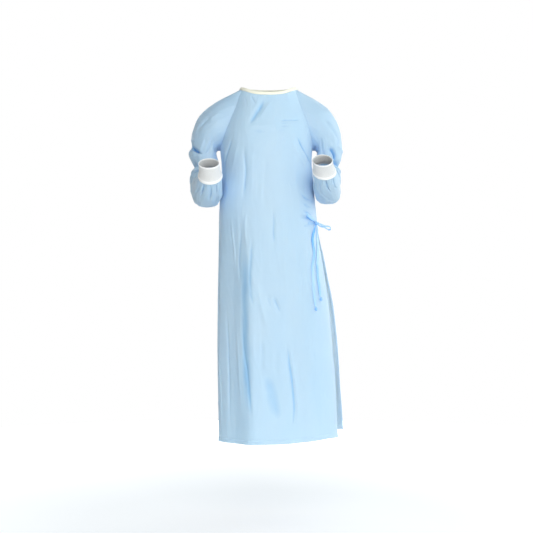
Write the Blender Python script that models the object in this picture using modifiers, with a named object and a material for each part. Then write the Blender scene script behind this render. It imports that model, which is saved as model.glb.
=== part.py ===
"""Surgical gown: a wrap-over gown of light nonwoven cloth, hollow and open as it hangs when worn.

Units are metres, +Z up, the front faces -Y and +X is the wearer's left. The origin is at the middle of
the neck opening, level with the top of the shoulders, where the wearer holds the gown up.
"""

import math

import bmesh
import bpy
import numpy as np

COLLECTION = "surgical_gown"

# Cloth and seams
WALL = 0.0012           # thickness of every cloth wall
SEAM_GAP = 0.0004       # parting between two pieces that are sewn together
SLEEVE_GAP = 0.0009     # the same at the armholes, where the walls meet at an angle
HEM_Z = -1.185
UNDERARM_Z = -0.205
SIDE_ANGLE = 95.0       # side seams, in degrees from the centre front
ROUNDNESS = 0.85        # 1 is an ellipse, less is squarer

# Body sections: height, half width on the wearer's right and left, depth in front and behind
BODY = (
    (0.030, 0.084, 0.084, 0.064, 0.058),
    (0.000, 0.097, 0.097, 0.081, 0.074),
    (-0.030, 0.112, 0.111, 0.093, 0.090),
    (-0.060, 0.126, 0.124, 0.104, 0.103),
    (-0.110, 0.147, 0.144, 0.120, 0.119),
    (-0.160, 0.158, 0.151, 0.131, 0.127),
    (-0.205, 0.162, 0.147, 0.136, 0.130),
    (-0.250, 0.158, 0.145, 0.136, 0.128),
    (-0.300, 0.157, 0.149, 0.135, 0.126),
    (-0.390, 0.165, 0.157, 0.133, 0.122),
    (-0.496, 0.168, 0.167, 0.135, 0.124),
    (-0.568, 0.168, 0.179, 0.139, 0.130),
    (-0.710, 0.169, 0.201, 0.149, 0.143),
    (-0.890, 0.171, 0.218, 0.158, 0.155),
    (-1.060, 0.168, 0.230, 0.165, 0.163),
    (-1.185, 0.165, 0.233, 0.168, 0.166),
)

# Neckline: degrees from the centre front, height of the cloth's edge under the binding
NECKLINE = (
    (0.0, -0.027),
    (25.0, -0.022),
    (45.0, -0.012),
    (62.0, -0.006),
    (95.0, -0.002),
    (132.0, 0.000),
    (180.0, -0.001),
)

# Raglan seams from the neckline to the underarm: height, degrees from the centre front
RAGLAN_FRONT = (
    (-0.006, 62.0),
    (-0.050, 57.0),
    (-0.098, 58.0),
    (-0.145, 64.0),
    (-0.182, 76.0),
    (UNDERARM_Z, SIDE_ANGLE),
)
RAGLAN_BACK = (
    (0.000, 132.0),
    (-0.045, 130.0),
    (-0.096, 127.0),
    (-0.145, 120.0),
    (-0.182, 110.0),
    (UNDERARM_Z, SIDE_ANGLE),
)

# Large soft folds of the skirt: angle at the top and at the hem, top, bottom, half width in degrees, depth
FOLDS = (
    (-46.0, -41.0, -0.330, -1.300, 17.0, -0.0130),
    (-19.0, -16.0, -0.380, -1.300, 9.0, 0.0060),
    (-76.0, -73.0, -0.420, -1.300, 10.0, 0.0050),
    (14.0, 26.0, -0.620, -1.300, 9.0, -0.0050),
    (52.0, 57.0, -0.560, -1.300, 12.0, -0.0045),
    (142.0, 146.0, -0.420, -1.300, 13.0, -0.0080),
    (176.0, 181.0, -0.300, -1.300, 12.0, 0.0070),
    (214.0, 211.0, -0.380, -1.300, 14.0, -0.0100),
    (243.0, 240.0, -0.520, -1.300, 11.0, 0.0060),
)
FOLD_RISE = 0.30        # length over which a fold deepens from nothing
NECK_FADE = 1.5         # how fast the neckline's dip fades down the yoke
HEM_RISE = (58.0, 42.0, 0.013)    # the bow lifts the hem: angle, half width in degrees, height
HEM_RISE_TOP = -0.80    # the rows above the hem share the rise from this height down

# Wrap-over back panel: its free edge, as height, degrees, and how far it stands off the layer below
WRAP_EDGE = (
    (0.002, 158.0, 0.0045),
    (-0.060, 150.0, 0.0045),
    (-0.130, 139.0, 0.0045),
    (-0.205, 124.0, 0.0045),
    (-0.300, 110.0, 0.0048),
    (-0.390, 102.0, 0.0050),
    (-0.496, 99.0, 0.0062),
    (-0.568, 98.0, 0.0100),
    (-0.660, 97.5, 0.0135),
    (-0.710, 97.5, 0.0165),
    (-0.890, 97.5, 0.0200),
    (-1.060, 97.5, 0.0190),
    (-1.157, 97.5, 0.0230),
)
WRAP_HEM_RISE = 0.022   # the free corner of the wrap hangs this much higher than the hem
WRAP_LIFT = 0.0045      # layer spacing at the centre back
WRAP_FLARE = 44.0       # degrees over which the free edge swings out
WRAP_LEAVES = (228.0, 16.0)       # the layers part from this angle on, over this many degrees
WRAP_RISE = (150.0, 50.0, -0.70, 0.45)  # the free corner is drawn up: from angle, over, from height, over
UNDER_EDGE = 218.0      # free edge of the under layer, past the centre back

# Sleeves, a row for each section from the shoulder to the wrist: inner x and z, outer x and z, y of the
# middle, degrees that the arm is bent forward, half depth, roundness
SLEEVE_LEFT = (
    (0.163, -0.208, 0.166, -0.039, 0.008, 0.0, 0.079, 1.00),
    (0.166, -0.217, 0.214, -0.080, 0.010, 0.0, 0.072, 1.00),
    (0.165, -0.234, 0.246, -0.150, 0.012, 4.0, 0.064, 1.00),
    (0.164, -0.257, 0.251, -0.205, 0.016, 8.0, 0.060, 0.95),
    (0.163, -0.290, 0.243, -0.262, 0.018, 15.0, 0.057, 0.90),
    (0.165, -0.320, 0.243, -0.314, 0.004, 52.0, 0.060, 0.85),
    (0.163, -0.345, 0.240, -0.334, -0.050, 88.0, 0.050, 0.75),
    (0.157, -0.338, 0.234, -0.329, -0.108, 100.0, 0.045, 0.80),
    (0.149, -0.309, 0.227, -0.317, -0.160, 118.0, 0.042, 0.90),
    (0.144, -0.291, 0.218, -0.291, -0.198, 134.0, 0.0375, 1.00),
)
SLEEVE_RIGHT = (
    (0.176, -0.208, 0.170, -0.037, 0.008, 0.0, 0.079, 1.00),
    (0.179, -0.217, 0.229, -0.083, 0.010, 0.0, 0.072, 1.00),
    (0.178, -0.234, 0.258, -0.140, 0.012, 4.0, 0.064, 1.00),
    (0.177, -0.258, 0.268, -0.205, 0.016, 8.0, 0.060, 0.95),
    (0.175, -0.290, 0.259, -0.258, 0.018, 15.0, 0.057, 0.90),
    (0.174, -0.324, 0.263, -0.314, 0.004, 52.0, 0.062, 0.85),
    (0.170, -0.343, 0.257, -0.346, -0.050, 88.0, 0.053, 0.72),
    (0.162, -0.342, 0.250, -0.346, -0.108, 98.0, 0.049, 0.75),
    (0.155, -0.326, 0.240, -0.330, -0.160, 115.0, 0.044, 0.85),
    (0.152, -0.305, 0.228, -0.305, -0.198, 134.0, 0.0385, 1.00),
)
NECK_SHARE = 0.07       # half share of a sleeve's first section that lies on the neckline
UNDERARM_FLARE = 0.008  # the sleeve leaves its seam square to the body by this much under the arm
UNDERARM_REACH = 0.20   # share of the armhole over which it does
LEAVING_PLACE = 0.35    # place of that section, between the seam at 0 and the first row at 1
LEAVING_SHARE = 0.3     # how far that section has gone over to the first row's shape

# Folds of a sleeve: place along it in sections, place around (0 inner, 0.25 front, 0.5 outer), half
# length, half width, depth
SLEEVE_FOLDS_LEFT = (
    (3.4, 0.42, 0.35, 0.10, -0.0060),
    (4.95, 0.50, 0.30, 0.16, -0.0100),
    (5.5, 0.60, 0.35, 0.14, 0.0050),
    (7.7, 0.86, 0.45, 0.07, -0.0050),
)
SLEEVE_FOLDS_RIGHT = (
    (3.70, 0.48, 0.28, 0.14, -0.0090),
    (4.25, 0.52, 0.28, 0.13, 0.0060),
    (5.05, 0.50, 0.28, 0.16, -0.0110),
    (5.55, 0.55, 0.30, 0.13, 0.0070),
    (8.2, 0.86, 0.50, 0.05, -0.0040),
)

# Cuffs: rim centre, bend and half sizes, above the wrist end of the sleeve
CUFF_RIM_LEFT = (0.173, -0.243, -0.258, 138.0, 0.0325, 0.0300)
CUFF_RIM_RIGHT = (0.193, -0.236, -0.267, 146.0, 0.0335, 0.0310)
CUFF_INSET = 0.0015     # the knit is drawn in this much where the sleeve is sewn to it
CUFF_INSET_REACH = 0.25 # share of the cuff over which it is drawn in
CUFF_GAP = 0.0008       # parting of the cuff from the sleeve's end

# Neck binding
BINDING_HEIGHT = 0.0115
BINDING_WALL = 0.0022

# Ties: the bow is at the wearer's left side, and each strand is a flat strip
TIE_WIDTH = 0.009
TIE_WALL = 0.0016
KNOT = (0.151, -0.455)  # x and z of the bow's knot
KNOT_SIZE = (0.0062, 0.0062, 0.0058)
KNOT_LIFT = 0.0074
KNOT_GAP = 0.0012       # from the knot's face to the middle of a strand's end
TAIL_LIFT = 0.0042
TAIL_DROP = 0.003       # a tail stands off this much more at the knot
TAIL_DROP_REACH = 0.125 # share of a tail over which it comes down to the cloth
TAIL_FRONT = (          # x and z down the tail that hangs nearer the front
    (0.1500, -0.4635),
    (0.1478, -0.482),
    (0.1445, -0.512),
    (0.1505, -0.5535),
    (0.1430, -0.605),
    (0.1460, -0.642),
    (0.1505, -0.702),
    (0.1550, -0.735),
)
TAIL_SIDE = (           # the same for the other tail
    (0.1565, -0.4630),
    (0.1600, -0.478),
    (0.1612, -0.500),
    (0.1608, -0.555),
    (0.1608, -0.612),
    (0.1668, -0.665),
    (0.1715, -0.702),
)
END_SIZE = (0.0050, 0.0045, 0.0058)
END_LIFT = 0.0053

# How much of its width a strand keeps where a knot holds it, and the share of its length that narrows
LOOP_PINCH = 0.4
LOOP_FRONT_REACH = 0.25
LOOP_SIDE_REACH = 0.2
STRAP_REACH = 0.4
TAIL_PINCH = (0.35, 0.6)
TAIL_REACH = 0.08

# Loops of the bow: x, z and lift off the cloth along each strip, and the direction across the strip
LOOP_FRONT = (
    (0.1450, -0.4490, 0.0075),
    (0.1380, -0.4440, 0.0062),
    (0.1300, -0.4370, 0.0055),
    (0.1240, -0.4310, 0.0062),
    (0.1222, -0.4290, 0.0090),
    (0.1245, -0.4310, 0.0118),
    (0.1310, -0.4375, 0.0128),
    (0.1390, -0.4445, 0.0125),
    (0.1450, -0.4490, 0.0115),
)
LOOP_FRONT_ACROSS = (0.45, -0.25, 0.85)
# The other loop stands clear of the cloth, so its points are x, y and z
LOOP_SIDE = (
    (0.1650, -0.0700, -0.4560),
    (0.1730, -0.0730, -0.4585),
    (0.1800, -0.0740, -0.4620),
    (0.1880, -0.0750, -0.4655),
    (0.1985, -0.0755, -0.4660),
    (0.2055, -0.0755, -0.4690),
    (0.2070, -0.0755, -0.4750),
    (0.2010, -0.0755, -0.4775),
    (0.1930, -0.0750, -0.4725),
    (0.1870, -0.0745, -0.4690),
    (0.1790, -0.0735, -0.4670),
    (0.1715, -0.0720, -0.4645),
    (0.1650, -0.0700, -0.4600),
)
LOOP_SIDE_ACROSS = (0.1, 1.0, 0.15)
# Straps: height, the angles of the sewn end and the knot end, and the lift off the cloth at each
STRAP_FRONT = (-0.4560, 52.0, 63.0, 0.0026, 0.0030)
STRAP_BACK = (-0.4530, 106.0, 76.0, 0.0084, 0.0050)
STRAP_FALL = (0.3125, 0.9375)    # shares of a strap between which its lift changes

# Mesh sizes
BODY_ROWS = 17
YOKE_ROWS = 9
NECK_STEPS = 4
FRONT_COLUMNS = 26
OVER_COLUMNS = 22
UNDER_COLUMNS = 13
SLEEVE_ROWS = 25
CUFF_COLUMNS = 32
CUFF_ROWS = 3
BINDING_COLUMNS = 58
TAIL_ROWS = 22
STRAP_ROWS = 10
LOOP_FRONT_ROWS = 16
LOOP_SIDE_ROWS = 22
KNOT_SEGMENTS = (12, 8)

# Colours, as linear red, green and blue, and roughness
CLOTH_BLUE = (0.545, 0.745, 0.900, 1.0)
TIE_BLUE = (0.500, 0.710, 0.880, 1.0)
KNIT_WHITE = (0.860, 0.860, 0.840, 1.0)
BINDING_CREAM = (0.900, 0.880, 0.720, 1.0)
CLOTH_ROUGHNESS = 0.78
KNIT_ROUGHNESS = 0.92


def clear_scene():
    """Remove every object that is in the file."""
    for found in list(bpy.data.objects):
        bpy.data.objects.remove(found, do_unlink=True)


def spline(knots, values, at):
    """Smooth curve through the values at rising knots, read at each place in `at`."""
    knots = np.asarray(knots, float)
    values = np.asarray(values, float)
    at = np.clip(np.asarray(at, float), knots[0], knots[-1])
    slopes = np.gradient(values, knots, axis=0)
    index = np.clip(np.searchsorted(knots, at, side="right") - 1, 0, len(knots) - 2)
    step = knots[index + 1] - knots[index]
    part = (at - knots[index]) / step
    extra = (1,) * (values.ndim - 1)
    part = part.reshape(part.shape + extra)
    step = step.reshape(step.shape + extra)
    start, end = values[index], values[index + 1]
    rise, fall = slopes[index] * step, slopes[index + 1] * step
    return (
        start * (1 + 2 * part) * (1 - part) ** 2
        + rise * part * (1 - part) ** 2
        + end * part**2 * (3 - 2 * part)
        + fall * part**2 * (part - 1)
    )


def table(rows, column, at):
    """A column of a table whose first column falls, read smoothly at `at`."""
    values = np.array(rows, float)[::-1]
    return spline(values[:, 0], values[:, column], at)


def smooth(value):
    """A soft step from 0 to 1."""
    value = np.clip(value, 0.0, 1.0)
    return value * value * (3 - 2 * value)


def apart(angle, middle):
    """Degrees between two angles, the short way round."""
    return (np.asarray(angle) - middle + 180.0) % 360.0 - 180.0


def fold_depth(angle, height):
    """How far the large folds move the cloth outwards at each angle and height."""
    total = np.zeros(np.broadcast(angle, height).shape)
    for top_angle, hem_angle, top, bottom, width, depth in FOLDS:
        share = np.clip((top - height) / (top - bottom), 0.0, 1.0)
        middle = top_angle + (hem_angle - top_angle) * share
        across = np.exp(-((apart(angle, middle) / width) ** 2))
        total += depth * across * smooth((top - height) / FOLD_RISE)
    return total


def body_point(angle, height, lift=0.0):
    """Points of the body's cloth at each angle from the centre front and height, moved out by `lift`."""
    angle, height, lift = np.broadcast_arrays(angle, height, lift)
    turn = np.radians(angle)
    side, front = np.sin(turn), np.cos(turn)
    wide = np.where(side > 0, table(BODY, 2, height), table(BODY, 1, height))
    deep = np.where(front > 0, table(BODY, 3, height), table(BODY, 4, height))
    x = wide * np.sign(side) * np.abs(side) ** ROUNDNESS
    y = -deep * np.sign(front) * np.abs(front) ** ROUNDNESS
    power = 2 / ROUNDNESS - 1
    normal_x = np.sign(side) * np.abs(x / wide) ** power / wide
    normal_y = -np.sign(front) * np.abs(y / deep) ** power / deep
    size = np.hypot(normal_x, normal_y)
    out = fold_depth(angle, height) + lift
    return np.stack([x + out * normal_x / size, y + out * normal_y / size, height + 0 * x], axis=-1)


def neck_height(angle):
    """Height of the cloth's edge at the neckline."""
    rows = np.array(NECKLINE)
    return spline(rows[:, 0], rows[:, 1], np.abs(apart(angle, 0.0)))


def raglan(rows, share):
    """Height and angle down a raglan seam, from 0 at the neckline to 1 at the underarm."""
    values = np.array(rows)
    return spline(np.linspace(0, 1, len(values)), values, share)


def hem_lift(angle, height):
    """How far the cloth near the hem is drawn up below the bow."""
    middle, width, rise = HEM_RISE
    share = smooth((HEM_RISE_TOP - height) / (HEM_RISE_TOP - HEM_Z))
    return rise * share * np.exp(-((apart(angle, middle) / width) ** 2))


def skirt_heights():
    """Heights of the rows below the underarm."""
    return np.linspace(UNDERARM_Z, HEM_Z, BODY_ROWS + 1)[1:]


def seam_turn(height):
    """Degrees that half a seam's parting covers at a height."""
    return math.degrees(0.5 * SEAM_GAP) / table(BODY, 1, height)


def panel_grid(columns, start, end, neck_blend):
    """Angles and heights of a body panel. `start` and `end` give its two edges as (height, angle) rows."""
    across = np.linspace(0, 1, columns + 1)
    angle = start[:, 1:2] * (1 - across) + end[:, 1:2] * across
    height = start[:, 0:1] * (1 - across) + end[:, 0:1] * across
    blend = neck_blend[:, None]
    dip = neck_height(angle) - (
        neck_height(start[:, 1:2]) * (1 - across) + neck_height(end[:, 1:2]) * across
    )
    height = height + dip * blend
    return angle, height + hem_lift(angle, height)


def neck_fade():
    """Share of the neckline's dip in each row, 1 at the neckline and 0 from the underarm down."""
    yoke = (1 - np.linspace(0, 1, YOKE_ROWS + 1)) ** NECK_FADE
    return np.concatenate([yoke, np.zeros(BODY_ROWS)])


def seam_edge(rows, sign, gap):
    """(height, angle) of a panel's edge: down the raglan seam, then down the side seam to the hem."""
    top = raglan(rows, np.linspace(0, 1, YOKE_ROWS + 1))
    below = skirt_heights()
    turn = SIDE_ANGLE + gap * seam_turn(below)
    top[-1, 1] += gap * seam_turn(UNDERARM_Z)
    edge = np.concatenate([top, np.stack([below, turn], axis=1)])
    edge[:, 1] *= sign
    return edge


def front_panel():
    """The front, one piece from side seam to side seam, with raglan armholes."""
    right = seam_edge(RAGLAN_FRONT, -1, -1)
    left = seam_edge(RAGLAN_FRONT, 1, -1)
    angle, height = panel_grid(FRONT_COLUMNS, right, left, neck_fade())
    return body_point(angle, height)


def wrap_lift(angle, edge_angle, edge_lift):
    """How far the wrap stands off: nothing at its side seam, a layer at the back, more at its free edge."""
    layer = WRAP_LIFT * smooth((WRAP_LEAVES[0] - angle) / WRAP_LEAVES[1])
    swing = smooth((edge_angle + WRAP_FLARE - angle) / WRAP_FLARE)
    return layer + (edge_lift - WRAP_LIFT) * swing


def back_panel_over():
    """The wrap: from the wearer's right side seam across the whole back to the wearer's left side."""
    seam = seam_edge(RAGLAN_BACK, -1, 1)
    seam[:, 1] += 360.0
    free_top = np.linspace(WRAP_EDGE[0][0], UNDERARM_Z, YOKE_ROWS + 1)
    free = np.concatenate([free_top, skirt_heights()])
    edge = np.stack([free, table(WRAP_EDGE, 1, free)], axis=1)
    edge[0, 0] = neck_height(edge[0, 1])
    angle, height = panel_grid(OVER_COLUMNS, seam, edge, neck_fade())
    lift = wrap_lift(angle, edge[:, 1:2], table(WRAP_EDGE, 2, free)[:, None])
    from_angle, over_angle, from_height, over_height = WRAP_RISE
    raised = smooth((from_angle - angle) / over_angle) * smooth((from_height - height) / over_height)
    return body_point(angle, height + WRAP_HEM_RISE * raised, lift)


def back_panel_under():
    """The layer under the wrap: from the wearer's left side seam to just past the centre back."""
    seam = seam_edge(RAGLAN_BACK, 1, 1)
    free = seam[:, 0].copy()
    free[0] = neck_height(UNDER_EDGE)
    edge = np.stack([free, np.full(len(free), UNDER_EDGE)], axis=1)
    angle, height = panel_grid(UNDER_COLUMNS, seam, edge, neck_fade())
    return body_point(angle, height)


def armhole(side, lift=0.0):
    """The closed edge that a sleeve is sewn to: up the front seam, over the neckline, down the back."""
    share = np.linspace(0, 1, YOKE_ROWS + 1)
    front = raglan(RAGLAN_FRONT, share[::-1])
    back = raglan(RAGLAN_BACK, share)
    over = np.linspace(RAGLAN_FRONT[0][1], RAGLAN_BACK[0][1], NECK_STEPS + 1)[1:-1]
    neck = np.stack([neck_height(over), over], axis=1)
    loop = np.concatenate([front, neck, back[:-1]])
    return body_point(side * loop[:, 1], loop[:, 0], lift)


def around_places():
    """Place around the sleeve, 0 to 1, of each point of the armhole."""
    front = np.linspace(0, 0.5 - NECK_SHARE, YOKE_ROWS + 1)
    neck = np.linspace(0.5 - NECK_SHARE, 0.5 + NECK_SHARE, NECK_STEPS + 1)[1:-1]
    back = np.linspace(0.5 + NECK_SHARE, 1, YOKE_ROWS + 1)[:-1]
    return np.concatenate([front, neck, back])


def section(side, middle, out, bend, half_out, half_deep, roundness, around):
    """Points round one oval section. `out` is its unit direction away from the body, in X and Z."""
    lean = math.atan2(out[1], out[0])
    bend = math.radians(bend)
    outward = np.array([math.cos(lean), 0.0, math.sin(lean)])
    forward = np.array([-math.sin(bend) * math.sin(lean), -math.cos(bend), math.sin(bend) * math.cos(lean)])
    turn = 2 * math.pi * around
    across = -np.sign(np.cos(turn)) * np.abs(np.cos(turn)) ** roundness
    deep = np.sign(np.sin(turn)) * np.abs(np.sin(turn)) ** roundness
    offset = across[:, None] * outward * half_out + deep[:, None] * forward * half_deep
    return (np.asarray(middle) + offset) * np.array([side, 1.0, 1.0])


def sleeve_sections(side, rows, around):
    """The sleeve's sections in order, each a row of points, without the armhole."""
    sections = []
    for inner_x, inner_z, outer_x, outer_z, y, bend, deep, roundness in rows:
        out = np.array([outer_x - inner_x, outer_z - inner_z])
        half = 0.5 * np.hypot(*out)
        middle = (0.5 * (inner_x + outer_x), y, 0.5 * (inner_z + outer_z))
        out /= 2 * half
        sections.append(section(side, middle, out, bend, half, deep, roundness, around))
    return np.array(sections)


def off_seam(seam, beyond):
    """Unit steps away from a closed seam towards the next row, square to the seam."""
    tangent = np.roll(seam, -1, axis=0) - np.roll(seam, 1, axis=0)
    tangent /= np.linalg.norm(tangent, axis=1, keepdims=True)
    step = beyond - seam
    step -= tangent * (step * tangent).sum(axis=1, keepdims=True)
    return step / np.linalg.norm(step, axis=1, keepdims=True)


def sleeve(side, rows, folds):
    """A raglan sleeve from its armhole to the wrist, with the soft folds at the elbow."""
    around = around_places()
    seam, sections = armhole(side), sleeve_sections(side, rows, around)
    under = np.exp(-((np.minimum(around, 1 - around) / UNDERARM_REACH) ** 2))[:, None]
    leaving = under * armhole(side, UNDERARM_FLARE) + (1 - under) * (
        (1 - LEAVING_SHARE) * seam + LEAVING_SHARE * sections[0]
    )
    rings = np.concatenate([seam[None], leaving[None], sections])
    knots = np.concatenate([[0.0, LEAVING_PLACE], np.arange(1, len(rows) + 1)])
    places = np.concatenate([[0.0], np.linspace(LEAVING_PLACE, len(rows), SLEEVE_ROWS)])
    grid = spline(knots, rings, places)
    grid[0] += SLEEVE_GAP * off_seam(grid[0], grid[1])
    away = grid - grid.mean(axis=1, keepdims=True)
    away /= np.linalg.norm(away, axis=2, keepdims=True)
    for along, place, length, width, depth in folds:
        near = np.exp(-(((places - along) / length) ** 2))[:, None]
        across = np.exp(-((((around - place + 0.5) % 1.0 - 0.5) / width) ** 2))[None]
        grid += (depth * near * across)[..., None] * away
    return grid


def cuff(side, rows, rim):
    """A knit cuff from the sleeve's end to its rim."""
    inner_x, inner_z, outer_x, outer_z, y, bend, deep, roundness = rows[-1]
    around = np.arange(CUFF_COLUMNS) / CUFF_COLUMNS
    start = np.array([0.5 * (inner_x + outer_x), y, 0.5 * (inner_z + outer_z)])
    half = 0.5 * (outer_x - inner_x)
    rim_x, rim_y, rim_z, rim_bend, rim_half, rim_deep = rim
    end = np.array([rim_x, rim_y, rim_z])
    along = (end - start) / np.linalg.norm(end - start)
    rings = []
    for share in np.linspace(0, 1, CUFF_ROWS + 1):
        middle = start + CUFF_GAP * along + (end - start) * share
        narrow = CUFF_INSET * smooth(share / CUFF_INSET_REACH)
        rings.append(
            section(
                side,
                middle,
                (1.0, 0.0),
                bend + (rim_bend - bend) * share,
                half + (rim_half - half) * share - narrow,
                deep + (rim_deep - deep) * share - narrow,
                roundness,
                around,
            )
        )
    return np.array(rings)


def neck_binding():
    """The binding: one strip from the wrap's free edge round the neck to the under layer's free edge."""
    angle = np.linspace(WRAP_EDGE[0][1] - 360.0, UNDER_EDGE, BINDING_COLUMNS + 1)
    lift = WRAP_LIFT * smooth((WRAP_LEAVES[0] - 360.0 - angle) / WRAP_LEAVES[1])
    low = neck_height(angle)
    rows = [
        body_point(angle, low + SEAM_GAP + (BINDING_HEIGHT - SEAM_GAP) * share, lift)
        for share in (0.0, 0.5, 1.0)
    ]
    return np.array(rows)


def front_angle(x, height):
    """Angle from the centre front of the cloth at a place seen from the front, on the wearer's left."""
    share = np.clip(np.asarray(x) / table(BODY, 2, height), 0.0, 1.0)
    return np.degrees(np.arcsin(share ** (1 / ROUNDNESS)))


def strip(path, wide, width):
    """A flat strip along a path: three points across at each of its points."""
    wide = wide / np.linalg.norm(wide, axis=1, keepdims=True)
    offset = 0.5 * np.asarray(width).reshape(-1, 1) * wide
    return np.stack([path - offset, path, path + offset], axis=1)


def narrowed(count, start, end, reach):
    """Width of a strip that is squeezed to `start` or `end` where a knot holds it."""
    share = np.linspace(0, 1, count)
    first = smooth(share / reach)
    last = smooth((1 - share) / reach)
    return TIE_WIDTH * (start + (1 - start) * first) * (end + (1 - end) * last)


def knot_middle():
    return body_point(front_angle(*KNOT), KNOT[1], KNOT_LIFT)


def tied(path, *ends):
    """The path with its named ends, 0 or -1, brought to the face of the knot."""
    middle = knot_middle()
    for end in ends:
        toward = path[1 if end == 0 else -2] - middle
        toward /= np.linalg.norm(toward)
        reach = 1 / np.linalg.norm(toward / np.array(KNOT_SIZE))
        path[end] = middle + (reach + KNOT_GAP) * toward
    return path


def tail(route, rows):
    """A tail of the bow lying down the front, flat on the cloth."""
    places = np.array(route)
    knots = np.concatenate([[0], np.cumsum(np.linalg.norm(np.diff(places, axis=0), axis=1))])
    at = spline(knots, places, np.linspace(0, knots[-1], rows + 1))
    angle = front_angle(at[:, 0], at[:, 1])
    share = np.linspace(0, 1, rows + 1)
    lift = TAIL_LIFT + TAIL_DROP * (1 - smooth(share / TAIL_DROP_REACH))
    path = body_point(angle, at[:, 1], lift)
    beside = body_point(angle + 1.0, at[:, 1], lift) - path
    return strip(tied(path, 0), beside, narrowed(rows + 1, *TAIL_PINCH, TAIL_REACH))


def front_loop():
    """The loop of the bow that lies flat on the front, folded back on itself."""
    points = np.array(LOOP_FRONT)
    at = spline(np.arange(len(points)), points, np.linspace(0, len(points) - 1, LOOP_FRONT_ROWS + 1))
    path = body_point(front_angle(at[:, 0], at[:, 1]), at[:, 1], at[:, 2])
    wide = np.tile(LOOP_FRONT_ACROSS, (len(path), 1))
    width = narrowed(len(path), LOOP_PINCH, LOOP_PINCH, LOOP_FRONT_REACH)
    return strip(tied(path, 0, -1), wide, width)


def side_loop():
    """The loop of the bow that stands out at the side, seen edge on from the front."""
    points = np.array(LOOP_SIDE)
    path = spline(np.arange(len(points)), points, np.linspace(0, len(points) - 1, LOOP_SIDE_ROWS + 1))
    wide = np.tile(LOOP_SIDE_ACROSS, (len(path), 1))
    width = narrowed(len(path), LOOP_PINCH, LOOP_PINCH, LOOP_SIDE_REACH)
    return strip(tied(path, 0, -1), wide, width)


def strap(height, start, end, start_lift, end_lift):
    """A strap sewn to a panel, lying round the side to the knot."""
    share = np.linspace(0, 1, STRAP_ROWS + 1)
    angle = start + (end - start) * share
    fall = smooth((share - STRAP_FALL[0]) / (STRAP_FALL[1] - STRAP_FALL[0]))
    path = body_point(angle, height, start_lift + (end_lift - start_lift) * fall)
    wide = np.tile([0.0, 0.0, 1.0], (STRAP_ROWS + 1, 1))
    return strip(tied(path, -1), wide, narrowed(STRAP_ROWS + 1, 1.0, LOOP_PINCH, STRAP_REACH))


def grid_mesh(name, grid, closed):
    """A mesh of the grid's points, with quads between its rows and columns."""
    rows, columns = grid.shape[:2]
    index = np.arange(rows * columns).reshape(rows, columns)
    if closed:
        index = np.concatenate([index, index[:, :1]], axis=1)
    quads = np.stack([index[:-1, :-1], index[:-1, 1:], index[1:, 1:], index[1:, :-1]], axis=-1)
    mesh = bpy.data.meshes.new(name)
    mesh.from_pydata(grid.reshape(-1, 3).tolist(), [], quads.reshape(-1, 4).tolist())
    mesh.update()
    return mesh


def cloth(name, grid, material, wall=WALL, closed=False):
    """One piece of cloth: an open surface thickened equally to both sides."""
    mesh = grid_mesh(name, grid, closed)
    mesh.materials.append(material)
    mesh.shade_smooth()
    piece = bpy.data.objects.new(name, mesh)
    bpy.data.collections[COLLECTION].objects.link(piece)
    shell = piece.modifiers.new("wall", "SOLIDIFY")
    shell.thickness = wall
    shell.offset = 0.0
    return piece


def knob(name, middle, sizes, material):
    """A small knot: a round ball drawn out to its three half sizes."""
    mesh = bpy.data.meshes.new(name)
    shape = bmesh.new()
    bmesh.ops.create_uvsphere(shape, u_segments=KNOT_SEGMENTS[0], v_segments=KNOT_SEGMENTS[1], radius=1.0)
    bmesh.ops.scale(shape, vec=sizes, verts=shape.verts)
    bmesh.ops.translate(shape, vec=tuple(middle), verts=shape.verts)
    shape.to_mesh(mesh)
    shape.free()
    mesh.materials.append(material)
    mesh.shade_smooth()
    piece = bpy.data.objects.new(name, mesh)
    bpy.data.collections[COLLECTION].objects.link(piece)
    return piece


def finish(name, colour, roughness):
    """A plain matt material for one piece."""
    material = bpy.data.materials.new(name)
    material.use_nodes = True
    shader = material.node_tree.nodes["Principled BSDF"]
    shader.inputs["Base Color"].default_value = colour
    shader.inputs["Roughness"].default_value = roughness
    shader.inputs["Metallic"].default_value = 0.0
    material.diffuse_color = colour
    return material


def blue(name):
    return finish(name, CLOTH_BLUE, CLOTH_ROUGHNESS)


def tie_blue(name):
    return finish(name, TIE_BLUE, CLOTH_ROUGHNESS)


def white(name):
    return finish(name, KNIT_WHITE, KNIT_ROUGHNESS)


def build_panels():
    cloth("front_panel", front_panel(), blue("front_cloth"))
    cloth("back_panel_over", back_panel_over(), blue("wrap_cloth"))
    cloth("back_panel_under", back_panel_under(), blue("under_cloth"))


def build_sleeves():
    for name, side, rows, folds, rim in (
        ("left", 1, SLEEVE_LEFT, SLEEVE_FOLDS_LEFT, CUFF_RIM_LEFT),
        ("right", -1, SLEEVE_RIGHT, SLEEVE_FOLDS_RIGHT, CUFF_RIM_RIGHT),
    ):
        cloth("sleeve_" + name, sleeve(side, rows, folds), blue("sleeve_cloth_" + name), closed=True)
        cloth("cuff_" + name, cuff(side, rows, rim), white("cuff_knit_" + name), closed=True)


def build_binding():
    cream = finish("binding_knit", BINDING_CREAM, KNIT_ROUGHNESS)
    cloth("neck_binding", neck_binding(), cream, wall=BINDING_WALL)


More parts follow.
